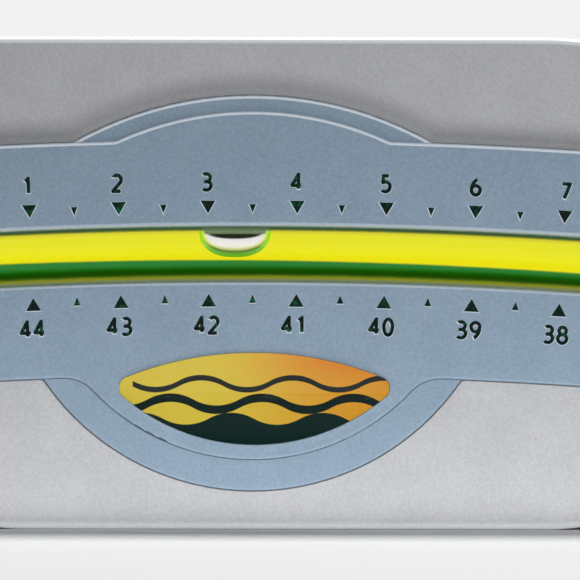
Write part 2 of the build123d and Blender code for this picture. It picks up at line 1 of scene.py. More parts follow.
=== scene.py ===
"""Rowing pitch gauge, dressed for a studio picture.

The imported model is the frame: metres, X to the right of the scale, Y from the front to the back, Z up.
Each sub-assembly is a class that builds its own surfaces and dresses its nodes; each finish is a small class
that writes one material. Front-view places are worked out about the centre of the vial's bend.
"""

import logging
import math
from abc import ABC, abstractmethod
from dataclasses import dataclass
from enum import Enum
from typing import Mapping, Sequence

import bmesh
import bpy
import numpy as np
from mathutils import Matrix, Vector
from mathutils.geometry import delaunay_2d_cdt


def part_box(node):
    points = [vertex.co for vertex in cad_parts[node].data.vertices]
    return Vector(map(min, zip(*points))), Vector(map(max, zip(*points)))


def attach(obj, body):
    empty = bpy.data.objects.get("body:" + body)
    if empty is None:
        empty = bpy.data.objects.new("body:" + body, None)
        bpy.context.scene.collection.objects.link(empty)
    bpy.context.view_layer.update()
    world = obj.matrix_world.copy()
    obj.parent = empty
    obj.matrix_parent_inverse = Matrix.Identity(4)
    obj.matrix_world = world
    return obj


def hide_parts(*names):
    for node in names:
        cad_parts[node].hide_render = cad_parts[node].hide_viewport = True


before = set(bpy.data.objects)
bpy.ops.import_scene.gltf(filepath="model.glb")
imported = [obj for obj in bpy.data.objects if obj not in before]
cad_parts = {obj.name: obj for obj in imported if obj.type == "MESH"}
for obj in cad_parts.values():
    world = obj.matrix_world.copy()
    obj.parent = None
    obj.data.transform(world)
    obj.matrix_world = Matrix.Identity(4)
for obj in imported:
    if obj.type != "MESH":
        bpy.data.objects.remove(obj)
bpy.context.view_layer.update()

MM = 0.001
WELD = 1e-7  # places closer than this are one place
NO_AREA = 1e-18  # least length of a triangle's cross product, against division by nought
NO_LENGTH = 1e-12  # least squared length of a run of a stroke, for the same reason
MIDDLE_READING = 3.5  # reading at the middle of the vial, from the left end of the scales
VIAL_GLOW = 0.86  # strength of the painted glow of the liquid and of the bubble
VIAL_LIT = 0.2  # share of their colour that is left for outside light
BODY = "root"
LOG = logging.getLogger("pitch_gauge")

Colour = tuple[float, float, float]
Point = tuple[float, float, float]
Stop = tuple[float, Colour]


def linear(colour: Colour) -> tuple[float, float, float, float]:
    """Turns a colour as read in a picture, 0 to 255, into the scene's linear red, green, blue and alpha.

    Args:
        colour: red, green and blue as a picture stores them.

    Returns:
        Linear red, green, blue and an alpha of one.
    """
    shares = [part / 255 for part in colour]
    bent = [share / 12.92 if share <= 0.04045 else ((share + 0.055) / 1.055) ** 2.4 for share in shares]
    return (*bent, 1.0)


class Value:
    """One socket of a material, on which Python arithmetic adds Math nodes."""

    def __init__(self, nodes: "Nodes", socket: bpy.types.NodeSocket) -> None:
        """Keeps the socket with the nodes that it belongs to."""
        self.nodes = nodes
        self.socket = socket

    def __add__(self, other: "Value | float") -> "Value":
        """Sum of two values."""
        return self.nodes.math("ADD", self, other)

    def __sub__(self, other: "Value | float") -> "Value":
        """This value less the other."""
        return self.nodes.math("SUBTRACT", self, other)

    def __rsub__(self, other: float) -> "Value":
        """The other value less this one."""
        return self.nodes.math("SUBTRACT", other, self)

    def __mul__(self, other: "Value | float") -> "Value":
        """Product of two values."""
        return self.nodes.math("MULTIPLY", self, other)

    def __truediv__(self, other: "Value | float") -> "Value":
        """This value over the other."""
        return self.nodes.math("DIVIDE", self, other)

    def __pow__(self, power: float) -> "Value":
        """This value to a power."""
        return self.nodes.math("POWER", self, power)

    def __abs__(self) -> "Value":
        """Size of the value without its sign."""
        return self.nodes.math("ABSOLUTE", self)

    __radd__ = __add__
    __rmul__ = __mul__

    def root(self) -> "Value":
        """Square root."""
        return self.nodes.math("SQRT", self)

    def higher(self, other: "Value | float") -> "Value":
        """The larger of two values."""
        return self.nodes.math("MAXIMUM", self, other)

    def lower(self, other: "Value | float") -> "Value":
        """The smaller of two values."""
        return self.nodes.math("MINIMUM", self, other)

    def rise(self, start: float, end: float, low: float = 0.0, high: float = 1.0) -> "Value":
        """Smooth change from low to high as the value goes from start to end.

        Args:
            start: value at which the result is low.
            end: value at which the result is high; it may be below start.
            low: result before start.
            high: result after end.

        Returns:
            The changed value, clamped between low and high.
        """
        settings = {"interpolation_type": "SMOOTHSTEP"}
        sockets = {0: self, 1: start, 2: end, 3: low, 4: high}
        return self.nodes.output("ShaderNodeMapRange", settings, sockets)


class Nodes:
    """The nodes of one material or of the world, all added by one method."""

    def __init__(self, tree: bpy.types.NodeTree) -> None:
        """Keeps the tree."""
        self.tree = tree

    def add(
        self,
        kind: str,
        settings: Mapping[str, object] | None = None,
        sockets: Mapping[int | str, object] | None = None,
    ) -> bpy.types.Node:
        """Adds a node.

        Args:
            kind: the node's type.
            settings: its properties, set first; "stops" holds a ramp's places and colours.
            sockets: numbers, colours or links for its inputs, by name or index.

        Returns:
            The new node.
        """
        node = self.tree.nodes.new(kind)
        for name, setting in (settings or {}).items():
            if name == "stops":
                self._set_stops(node, setting)
            else:
                setattr(node, name, setting)
        for key, content in (sockets or {}).items():
            self.join(node.inputs[key], content)
        return node

    def join(self, socket: bpy.types.NodeSocket, content: object) -> None:
        """Links an input, or sets it to a constant.

        Args:
            socket: the input.
            content: a Value or a socket to link, or else the constant.
        """
        if isinstance(content, Value):
            content = content.socket
        if isinstance(content, bpy.types.NodeSocket):
            self.tree.links.new(content, socket)
        else:
            socket.default_value = content

    def output(
        self,
        kind: str,
        settings: Mapping[str, object] | None = None,
        sockets: Mapping[int | str, object] | None = None,
        index: int | str = 0,
    ) -> Value:
        """Adds a node and returns one of its outputs as a Value."""
        return Value(self, self.add(kind, settings, sockets).outputs[index])

    def math(self, operation: str, *values: Value | float) -> Value:
        """Adds one Math node."""
        return self.output("ShaderNodeMath", {"operation": operation}, dict(enumerate(values)))

    def _set_stops(self, node: bpy.types.Node, stops: Sequence[Stop]) -> None:
        """Gives a ramp its stops.

        Args:
            node: the ramp.
            stops: places from 0 to 1, each with a colour as a picture stores it.
        """
        elements = node.color_ramp.elements
        while len(elements) < len(stops):
            elements.new(1.0)
        for element, (place, colour) in zip(elements, stops):
            element.position = place
            element.color = linear(colour)


class Coat(Nodes):
    """A material with one Principled shader, for patterns on Object coordinates."""

    def __init__(self, name: str) -> None:
        """Makes the material and finds its shader.

        Args:
            name: name of the material.
        """
        self.material = bpy.data.materials.new(name)
        self.material.use_nodes = True
        super().__init__(self.material.node_tree)
        self.shader = self.tree.nodes["Principled BSDF"]
        self.surface = self.tree.nodes["Material Output"].inputs["Surface"]
        self.place = self.output("ShaderNodeTexCoord", index="Object")

    def set(self, **inputs: object) -> None:
        """Sets or links the shader's inputs; an underscore in a name stands for a space."""
        for name, content in inputs.items():
            self.join(self.shader.inputs[name.replace("_", " ")], content)

    def parts(self, vector: Value) -> tuple[Value, Value, Value]:
        """The X, Y and Z of a vector."""
        split = self.add("ShaderNodeSeparateXYZ", None, {0: vector})
        return tuple(Value(self, socket) for socket in split.outputs)

    def axes(self) -> tuple[Value, Value, Value]:
        """The three Object coordinates of the place."""
        return self.parts(self.place)

    def facing(self) -> tuple[Value, Value]:
        """How far the surface's normal points to the front and how far up, each from -1 to 1."""
        _, back, up = self.parts(self.output("ShaderNodeTexCoord", index="Normal"))
        return back * -1.0, up

    def front(self) -> Value:
        """Field that is 1 where the surface faces the front."""
        return self.facing()[0].rise(0.5, 0.9)

    def eased_edges(self) -> tuple[Value, Value, Value]:
        """Finds the rounded edges of a front face.

        An edge begins where the normal leaves the front by about a degree, and is full at eleven degrees.
        Its gentle part ends, and its steep foot begins, between 33 and 63 degrees.

        Returns:
            Three fields: one on the edges that face up, one on the gentle part of those that face down, and
            one on their steep foot.
        """
        front, up = self.facing()
        upward = up.rise(-0.12, 0.12)
        tilted = front.rise(0.9998, 0.98)
        gentle = front.rise(0.45, 0.84)
        not_a_side = front.rise(0.03, 0.2)
        return (
            tilted * not_a_side * upward,
            tilted * gentle * (1 - upward),
            (1 - gentle) * (1 - upward),
        )

    def noise(
        self,
        size: float,
        detail: float = 2.0,
        roughness: float = 0.5,
        place: Value | None = None,
    ) -> Value:
        """Smooth random field from 0 to 1.

        Args:
            size: distance over which it changes, in metres.
            detail: number of finer layers.
            roughness: share of the finer layers.
            place: where to read it, in place of the Object coordinates.

        Returns:
            The field's value.
        """
        sockets = {
            "Vector": place or self.place,
            "Scale": 1 / size,
            "Detail": detail,
            "Roughness": roughness,
        }
        return self.output("ShaderNodeTexNoise", None, sockets, "Fac")

    def cells(self, size: float, output: str = "Distance") -> Value:
        """Distance to, or colour of, the nearest of points scattered about one size apart."""
        return self.output("ShaderNodeTexVoronoi", None, {"Vector": self.place, "Scale": 1 / size}, output)

    def specks(self, spacing: float, radius: float, share: float) -> Value:
        """Small round specks.

        Args:
            spacing: distance between the places that may hold one.
            radius: size of the largest.
            share: part of the places that hold one.

        Returns:
            One inside a speck and nought outside.
        """
        draw = self.add("ShaderNodeSeparateColor", None, {0: self.cells(spacing, "Color")})
        chosen = Value(self, draw.outputs[0]).rise(1 - share, 1 - share * 0.8)
        reach = chosen * (radius / spacing)
        return (reach - self.cells(spacing)).rise(0.0, 0.3 * radius / spacing)

    def mix(self, share: Value | float, first: object, second: object) -> Value:
        """Blends two colours.

        Args:
            share: how much of the second is in the blend, from 0 to 1.
            first: a colour as a picture stores it, or a Value.
            second: the other colour.

        Returns:
            The blend.
        """
        ends = [linear(end) if isinstance(end, tuple) else end for end in (first, second)]
        sockets = {0: share, 6: ends[0], 7: ends[1]}
        return self.output("ShaderNodeMix", {"data_type": "RGBA"}, sockets, 2)

    def bands(self, field: Value, *stops: Stop) -> Value:
        """Colour that follows a field through stops, each a place and a colour.

        Args:
            field: the value that is followed.
            stops: places on the field, from low to high, with their colours.

        Returns:
            The colour, blended evenly between neighbouring stops.
        """
        low, high = stops[0][0], stops[-1][0]
        scaled = [((place - low) / (high - low), colour) for place, colour in stops]
        return self.output("ShaderNodeValToRGB", {"stops": scaled}, {0: (field - low) * (1 / (high - low))})

    def glow(self, colour: Value, strength: float, share: float) -> None:
        """Colours the surface with a painted glow of its own and a share of the colour for outside light."""
        self.set(
            Base_Color=self.mix(1 - share, colour, (0, 0, 0)),
            Emission_Color=colour,
            Emission_Strength=strength,
        )

    def bump(self, height: Value, depth: float, strength: float = 1.0) -> None:
        """Feeds the shader's normal with a relief of that depth in metres."""
        sockets = {"Height": height, "Distance": depth, "Strength": strength}
        self.set(Normal=self.output("ShaderNodeBump", None, sockets))

    def open_to_lamps(self, tint: Colour) -> None:
        """Lets the light of lamps through on its way to what lies behind.

        Args:
            tint: colour that the light takes on.
        """
        shadow = self.output("ShaderNodeLightPath", index="Is Shadow Ray")
        open_way = self.add("ShaderNodeBsdfTransparent", None, {0: linear(tint)})
        sockets = {0: shadow, 1: self.shader.outputs[0], 2: open_way.outputs[0]}
        self.join(self.surface, self.output("ShaderNodeMixShader", None, sockets))

    def arc_height(self, bend: "Bend") -> Value:
        """Height above the vial's axis: the distance from the centre of its bend, less its radius.

        Args:
            bend: the vial's axis.

        Returns:
            The height in metres, negative below the axis.
        """
        x, _, z = self.axes()
        rise = z - bend.centre_z
        return (x * x + rise * rise).root() - bend.radius

    def arc_length(self, bend: "Bend") -> Value:
        """Distance along the vial from the middle of the scale."""
        x, _, z = self.axes()
        return self.math("ARCTAN2", x, z - bend.centre_z) * bend.radius


@dataclass(frozen=True)
class Bend:
    """The vial's axis: an arc that rises in the middle.

    Attributes:
        radius: radius of the arc.
        axis_z: height of the axis at the middle of the scale.
        axis_y: depth of the axis.
    """

    radius: float
    axis_z: float
    axis_y: float

    @property
    def centre_z(self) -> float:
        """Height of the centre of the bend."""
        return self.axis_z - self.radius

    def front_view(self, along: np.ndarray, height: np.ndarray) -> tuple[np.ndarray, np.ndarray]:
        """Places a distance along the axis and a height above it.

        The angle is the distance over the bend's radius. The point lies at the radius plus the height from
        the centre, turned by that angle from the vertical.

        Args:
            along: distances along the axis, to the right of the middle.
            height: heights above the axis.

        Returns:
            The X and Z coordinates.
        """
        angle = np.asarray(along) / self.radius
        reach = self.radius + np.asarray(height)
        return reach * np.sin(angle), self.centre_z + reach * np.cos(angle)


@dataclass(frozen=True)
class PlateEdge:
    """Upper outline of the plate's lower step: an arc about the bend's centre, and a disc that tops it.

    Attributes:
        bend: the vial's axis.
        height: height of the arc above the axis.
        top_z: height of the disc's top.
        radius: radius of the disc.
    """

    bend: Bend
    height: float = 23.1 * MM
    top_z: float = 88.15 * MM
    radius: float = 73.9 * MM

    def distance(self, coat: Coat) -> Value:
        """Distance above the outline: the lesser of the distances from the arc and from the disc.

        Args:
            coat: the material whose places are measured.

        Returns:
            The distance in metres, negative below the outline.
        """
        x, _, z = coat.axes()
        rise = z - (self.top_z - self.radius)
        from_disc = (x * x + rise * rise).root() - self.radius
        return (coat.arc_height(self.bend) - self.height).lower(from_disc)


@dataclass(frozen=True)
class Bubble:
    """The bubble, which hangs from the top of the vial's bore.

    Attributes:
        middle: distance of its middle along the vial.
        half_length: half its length.
        depth: how far it reaches below the top of the bore.
        fullness: power of its rounded outline; two would give a half ellipse.
    """

    middle: float
    half_length: float = 7.25 * MM
    depth: float = 5.45 * MM
    fullness: float = 2.3

    def depth_at(self, along: np.ndarray) -> np.ndarray:
        """Depth below the top of the bore: a full oval along the vial, nought past its ends."""
        share = np.abs(along - self.middle) / self.half_length
        return self.depth * np.clip(1 - share**self.fullness, 0, 1) ** (1 / self.fullness)


def link(mesh: bpy.types.Mesh, name: str) -> bpy.types.Object:
    """Puts a mesh in the scene as an object at the origin.

    Args:
        mesh: the mesh.
        name: name of the object.

    Returns:
        The object.
    """
    piece = bpy.data.objects.new(name, mesh)
    bpy.context.scene.collection.objects.link(piece)
    return piece


def mesh_of(name: str, corners: np.ndarray, faces: np.ndarray) -> bpy.types.Mesh:
    """Makes a mesh from arrays.

    Args:
        name: name of the mesh.
        corners: one row of X, Y, Z for each vertex.
        faces: one row of vertex numbers for each face, all with as many sides.

    Returns:
        The mesh, shaded smooth.
    """
    mesh = bpy.data.meshes.new(name)
    sides = faces.shape[1]
    mesh.vertices.add(len(corners))
    mesh.loops.add(faces.size)
    mesh.polygons.add(len(faces))
    mesh.vertices.foreach_set("co", corners.astype(np.float32).ravel())
    mesh.loops.foreach_set("vertex_index", faces.astype(np.int32).ravel())
    mesh.polygons.foreach_set("loop_start", np.arange(0, faces.size, sides, dtype=np.int32))
    mesh.polygons.foreach_set("use_smooth", np.ones(len(faces), dtype=bool))
    mesh.update(calc_edges=True)
    return mesh


def grid_piece(
    name: str,
    points: np.ndarray,
    closed: tuple[bool, bool],
    sharp: float = 40.0,
) -> bpy.types.Object:
    """Makes a piece from a surface given on a grid of two parameters.

    Neighbouring points of the grid become four-sided faces. Points that fall together, at a pole or a seam,
    are merged, and the faces are turned outwards.

    Args:
        name: name of the piece.
        points: X, Y, Z at each step of the two parameters.
        closed: whether each parameter runs round and meets its start.
        sharp: edges that turn by more than this many degrees are shaded sharp.

    Returns:
        The piece.
    """
    rows, columns = points.shape[:2]
    numbers = np.arange(rows * columns).reshape(rows, columns)
    for axis, wraps in enumerate(closed):
        if wraps:
            numbers = np.concatenate([numbers, numbers.take([0], axis=axis)], axis=axis)
    faces = np.stack([numbers[:-1, :-1], numbers[1:, :-1], numbers[1:, 1:], numbers[:-1, 1:]], axis=-1)
    mesh = mesh_of(name, points.reshape(-1, 3), faces.reshape(-1, 4))
    shape = bmesh.new()
    shape.from_mesh(mesh)
    bmesh.ops.remove_doubles(shape, verts=shape.verts, dist=WELD)
    bmesh.ops.recalc_face_normals(shape, faces=shape.faces)
    shape.to_mesh(mesh)
    shape.free()
    mesh.set_sharp_from_angle(angle=math.radians(sharp))
    return link(mesh, name)


def facing_front(places: np.ndarray, faces: np.ndarray) -> tuple[np.ndarray, np.ndarray]:
    """Turns triangles so that all of them face the front.

    A triangle's normal is the cross product of two of its sides. Where it points to the back, the triangle's
    corners are taken in the other order.

    Args:
        places: X, Y, Z of each vertex.
        faces: three vertex numbers for each triangle.

    Returns:
        The turned triangles and their unit normals.
    """
    first, second, third = (places[faces[:, corner]] for corner in range(3))
    normal = np.cross(second - first, third - first)
    turned = normal[:, 1:2] > 0
    normal = np.where(turned, -normal, normal)
    length = np.maximum(np.linalg.norm(normal, axis=1, keepdims=True), NO_AREA)
    return np.where(turned, faces[:, ::-1], faces), normal / length


def outline_edges(faces: np.ndarray) -> np.ndarray:
    """Finds the outlines of a sheet of triangles: the edges that belong to one of them only.

    Args:
        faces: three vertex numbers for each triangle.

    Returns:
        Two vertex numbers for each edge.
    """
    sides = np.concatenate([faces[:, [0, 1]], faces[:, [1, 2]], faces[:, [2, 0]]])
    _, first, count = np.unique(np.sort(sides, axis=1), axis=0, return_index=True, return_counts=True)
    return sides[first[count == 1]]


def inside(points: np.ndarray, edges: np.ndarray, block: int = 1500) -> np.ndarray:
    """Tells which points lie within outlines.

    A line to the right of such a point crosses the outlines an odd number of times.

    Args:
        points: places in the front view, one row each.
        edges: start and end of each edge of the outlines.
        block: how many points are taken at a time.

    Returns:
        True for each point within.
    """
    starts, ends = edges[:, 0], edges[:, 1]
    rise = ends[:, 1] - starts[:, 1]
    results = []
    for part in np.array_split(points, len(points) // block + 1):
        x, z = part[:, :1], part[:, 1:]
        spans = (starts[:, 1] > z) != (ends[:, 1] > z)
        share = (z - starts[:, 1]) / np.where(rise == 0, 1, rise)
        crossing = starts[:, 0] + share * (ends[:, 0] - starts[:, 0])
        results.append(((crossing > x) & spans).sum(axis=1) % 2 == 1)
    return np.concatenate(results)


@dataclass(frozen=True, kw_only=True)
class Finish(ABC):
    """A finish: one material for one slot of the record.

    Attributes:
        name: name of the material.
        slot: slot of the record; not used.
    """

    name: str
    slot: str

    @abstractmethod
    def pattern(self, coat: Coat) -> None:
        """Writes what is this finish's own into a new material."""

    def material(self) -> bpy.types.Material:
        """Makes the material.

        Returns:
            The material with its pattern.
        """
        coat = Coat(self.name)
        self.pattern(coat)
        return coat.material


@dataclass(frozen=True)
class PaintedShade:
    """Painted shade above an outline, on what faces the front.

    Attributes:
        outline: the outline.
        colour: its colour.
        share: how strong it is where it is darkest.
        reach: height above the outline at which it ends.
        thick: height above the outline below which it is darkest.
        below: heights, under the outline, at which it begins and is full.
        lip_light: part of it that gives way, next to the outline, to painted light from the lip.
        lip_light_reach: heights above the outline at which that painted light ends and is full.
    """

    outline: PlateEdge
    colour: Colour = (60, 61, 64)
    share: float = 0.36
    reach: float = 6 * MM
    thick: float = 1.2 * MM
    below: tuple[float, float] = (-1.0 * MM, -0.5 * MM)
    lip_light: float = 0.3
    lip_light_reach: tuple[float, float] = (1.8 * MM, 0.6 * MM)

    def field(self, coat: Coat, clouds: Value) -> Value:
        """Strength of the painted shade at each place.

        Args:
            coat: the material that carries the painted shade.
            clouds: field from 0 to 1 that makes it uneven.

        Returns:
            The strength, from 0 to 1.
        """
        above = self.outline.distance(coat)
        # Painted shade: full just above the outline, fading out higher up.
        shade_field = above.rise(self.reach, self.thick) * above.rise(*self.below) * coat.front()
        # Next to the outline, part of the painted shade gives way to painted light from the lip.
        left = 1 - above.rise(*self.lip_light_reach) * self.lip_light
        return shade_field * left * (clouds * 0.5 + 0.75) * self.share


@dataclass(frozen=True, kw_only=True)
class SprayedPaint(Finish):
    """Satin metallic paint, sprayed on moulded plastic.

    Attributes:
        colour: colour in the middle of its range.
        flake: how much single flakes differ from it, in steps of a picture's scale.
        flake_size: size of the flakes.
        clump_size: size of the clumps of flakes.
        cloud_size: size of the faint clouds.
        metal: metallic share.
        roughness: mean roughness.
        speck: colour of the rare dust specks.
        speck_share: part of the places that hold a speck.
        speck_spacing: distance between those places.
        speck_radius: radius of the largest speck.
        lightened: colour of the painted highlight on rounded edges.
        upper_highlight: how strong the painted highlight is on the edges that face up, from 0 to 1.
        lower_highlight: how strong it is on the edges that face down.
        shine: how much more metallic the edges with the painted highlight are.
        foot_shade: how dark the painted shade at the foot of an edge that faces down is.
        foot_shade_colour: colour of that painted shade.
        lit_slot: the bend along whose slot both lips get part of the painted highlight and no painted shade.
        lit_slot_reach: how far from the bend that reaches.
        painted_shade: the painted shade above an outline, if there is any.
        peel_size: size of the ripples of its skin.
        relief: depth of those ripples.
    """

    colour: Colour
    flake: float = 8.5
    flake_size: float = 0.16 * MM
    clump_size: float = 0.62 * MM
    cloud_size: float = 9 * MM
    metal: float = 0.12
    roughness: float = 0.42
    speck: Colour = (120, 122, 124)
    speck_share: float = 0.25
    speck_spacing: float = 3.2 * MM
    speck_radius: float = 0.16 * MM
    lightened: Colour = (222, 226, 230)
    upper_highlight: float = 0.9
    lower_highlight: float = 0.4
    shine: float = 0.3
    foot_shade: float = 0.0
    foot_shade_colour: Colour = (40, 48, 56)
    lit_slot: Bend | None = None
    lit_slot_reach: float = 8 * MM
    painted_shade: PaintedShade | None = None
    peel_size: float = 0.75 * MM
    relief: float = 0.012 * MM

    def edges(self, coat: Coat) -> tuple[Value, Value, Value]:
        """Finds the rounded edges, with both lips of the lit slot given part of the painted highlight and no
        painted shade.

        Args:
            coat: the new material.

        Returns:
            Fields of the edges that face up, of those that face down, and of their steep foot.
        """
        upper, lower, foot = coat.eased_edges()
        if not self.lit_slot:
            return upper, lower, foot
        # Near the slot: half the painted highlight on the upward lip, the painted highlight on the downward
        # lip, no painted shade.
        away = abs(coat.arc_height(self.lit_slot))
        lit_slot = away.rise(1.1 * self.lit_slot_reach, 0.9 * self.lit_slot_reach)
        return upper * (1 - lit_slot * 0.5), lower * lit_slot, foot * (1 - lit_slot)

    def pattern(self, coat: Coat) -> None:
        """Writes flakes, faint clouds, rare specks and an orange-peel relief, then painted highlights and
        painted shade on the edges, and painted shade above an outline.

        Args:
            coat: the new material.
        """
        dark = tuple(part - self.flake for part in self.colour)
        light = tuple(part + self.flake for part in self.colour)
        fine = coat.noise(self.flake_size, 1.0)
        coarse = coat.noise(self.clump_size)
        clouds = coat.noise(self.cloud_size, 3.0)
        grain = (fine * 0.2 + coarse * 0.55 + clouds * 0.25).rise(0.3, 0.7)
        specks = coat.specks(self.speck_spacing, self.speck_radius, self.speck_share)
        colour = coat.mix(specks * 0.7, coat.mix(grain, dark, light), self.speck)
        upper, lower, foot = self.edges(coat)
        # Painted highlight on the rounded edges: a lighter colour and more metal, strongest where they face
        # up.
        lightened = (upper * self.upper_highlight + lower * self.lower_highlight) * (coarse * 0.3 + 0.85)
        colour = coat.mix(lightened, colour, self.lightened)
        # Painted shade at the steep foot of the edges that face down.
        colour = coat.mix(foot * self.foot_shade, colour, self.foot_shade_colour)
        # Painted shade above the plate's outline.
        if self.painted_shade:
            colour = coat.mix(self.painted_shade.field(coat, clouds), colour, self.painted_shade.colour)
        coat.set(
            Base_Color=colour,
            Metallic=lightened * self.shine + self.metal,
            Roughness=fine * 0.16 + (self.roughness - 0.08),
            Coat_Weight=0.25,
            Coat_Roughness=0.24,
        )
        coat.bump(fine * 0.2 + coat.noise(self.peel_size) * 0.8, self.relief, 0.35)


@dataclass(frozen=True, kw_only=True)
class MouldedPlastic(Finish):
    """Plain moulded plastic or rubber with a fine spark-eroded grain.

    Attributes:
        colour: its colour.
        roughness: mean roughness.
        grain: size of the grain.
        relief: depth of the grain.
        scuff: size of the faint scuffs.
        paler: how far the scuffs go towards white.
        deeper: brightness of the deep grain.
    """

    colour: Colour
    roughness: float = 0.55
    grain: float = 0.45 * MM
    relief: float = 0.02 * MM
    scuff: float = 6 * MM
    paler: float = 0.16
    deeper: float = 0.82

    def pattern(self, coat: Coat) -> None:
        """Writes grain in colour, roughness and relief, with faint scuffs.

        Args:
            coat: the new material.
        """
        grain = coat.noise(self.grain, 3.0, 0.6)
        scuffs = coat.noise(self.scuff, 5.0, 0.65).rise(0.52, 0.7)
        lightened = tuple(part + self.paler * (255 - part) for part in self.colour)
        deep = tuple(part * self.deeper for part in self.colour)
        base = coat.mix(grain.rise(0.3, 0.7), deep, self.colour)
        coat.set(
            Base_Color=coat.mix(scuffs * 0.35, base, lightened),
            Roughness=grain * 0.2 + scuffs * -0.08 + (self.roughness - 0.08),
        )
        coat.bump(grain, self.relief, 0.6)


@dataclass(frozen=True, kw_only=True)
class PlatedMetal(Finish):
    """Plated or turned metal of small fasteners.

    Attributes:
        colour: its colour.
        tarnish: colour of the dull places.
        roughness: mean roughness.
        dull_size: size of the dull places.
        mark_size: spacing of the turning marks.
        relief: depth of the turning marks.
    """

    colour: Colour
    tarnish: Colour
    roughness: float = 0.3
    dull_size: float = 1.3 * MM
    mark_size: float = 0.12 * MM
    relief: float = 0.008 * MM

    def pattern(self, coat: Coat) -> None:
        """Writes turning marks and dull clouds.

        Args:
            coat: the new material.
        """
        clouds = coat.noise(self.dull_size, 4.0, 0.6)
        marks = coat.noise(self.mark_size)
        coat.set(
            Base_Color=coat.mix(clouds.rise(0.45, 0.75), self.colour, self.tarnish),
            Metallic=1.0,
            Roughness=clouds * 0.25 + marks * 0.12 + (self.roughness - 0.16),
        )
        coat.bump(marks, self.relief, 0.5)


@dataclass(frozen=True, kw_only=True)
class InkedPaint(Finish):
    """Dark green paint that fills the engraved signs, thinner and brighter in places.

    Attributes:
        deep: colour where the fill is thick.
        thin: colour where it is thin.
        patch_size: size of the thin patches.
        ripple_size: size of the ripples of its skin.
        relief: depth of the patches and the ripples.
    """

    name: str = "scale_paint_fill"
    slot: str = "scale_paint"
    deep: Colour = (3, 26, 20)
    thin: Colour = (14, 96, 58)
    patch_size: float = 1.1 * MM
    ripple_size: float = 0.3 * MM
    relief: float = 0.05 * MM

    def pattern(self, coat: Coat) -> None:
        """Writes thin patches, glossy pools and a rippled skin.

        Args:
            coat: the new material.
        """
        patches = coat.noise(self.patch_size, 3.0, 0.55)
        ripple = coat.noise(self.ripple_size, 1.0)
        coat.set(
            Base_Color=coat.mix(patches.rise(0.5, 0.74), self.deep, self.thin),
            Roughness=patches * 0.3 + 0.2,
            Specular_IOR_Level=0.15,
        )
        coat.bump(patches * 0.6 + ripple * 0.4, self.relief, 0.5)


@dataclass(frozen=True, kw_only=True)
class GreenLiquid(Finish):
    """Fluorescent liquid, painted in the bands that the round tube turns it into: painted refraction and
    reflection, with a painted glow.

    Attributes:
        bend: the vial's axis.
        yellow_low: height above the axis at which the yellow ends, at the middle of the scale.
        slope: how much lower it ends for each metre to the right.
        soft: heights about that end at which the yellow begins and is full.
        streak: size of the streaks across the tube.
        stretch: that size as a share of their size along the tube.
        wander: how far the streaks move the bands.
        green: painted bands of the lower part, the tube's dark reflection, by their height above the axis.
        yellow: painted bands of the lit upper part, darker at its top.
    """

    name: str = "vial_liquid_banded"
    slot: str = "vial_liquid"
    bend: Bend
    yellow_low: float = -1.32 * MM
    slope: float = 0.0065
    soft: tuple[float, float] = (-0.28 * MM, 0.24 * MM)
    streak: float = 0.9 * MM
    stretch: float = 0.12
    wander: float = 0.4 * MM
    green: tuple[Stop, ...] = (
        (-4.65 * MM, (132, 136, 6)),
        (-4.4 * MM, (66, 100, 0)),
        (-4.1 * MM, (8, 68, 0)),
        (-3.7 * MM, (0, 64, 0)),
        (-3.1 * MM, (2, 84, 4)),
        (-2.6 * MM, (26, 112, 30)),
        (-2.2 * MM, (36, 125, 54)),
        (-1.5 * MM, (42, 128, 54)),
    )
    yellow: tuple[Stop, ...] = (
        (-0.9 * MM, (238, 228, 14)),
        (0.2 * MM, (238, 233, 22)),
        (2.6 * MM, (238, 233, 40)),
        (3.9 * MM, (238, 233, 52)),
        (4.7 * MM, (214, 204, 50)),
    )

    def pattern(self, coat: Coat) -> None:
        """Writes the painted yellow bands over the painted green ones, with streaks along the tube, and a
        painted glow.

        Args:
            coat: the new material.
        """
        height = coat.arc_height(self.bend)
        along = coat.arc_length(self.bend)
        stretched = coat.output("ShaderNodeCombineXYZ", None, {0: along * self.stretch, 1: height})
        streak = coat.noise(self.streak, 3.0, 0.55, stretched)
        wander = (streak - 0.5) * self.wander
        # Painted refraction: green bands of the tube's reflection below, lit yellow above.
        green = coat.bands(height + wander, *self.green)
        yellow = coat.bands(height, *self.yellow)
        above = height + along * self.slope + wander * 0.4 - self.yellow_low
        coat.glow(coat.mix(above.rise(*self.soft), green, yellow), VIAL_GLOW, VIAL_LIT)
        coat.set(
            Roughness=streak * 0.1 + 0.15,
            Specular_IOR_Level=0.1,
            Coat_Weight=0.05,
            Coat_Roughness=0.03,
        )


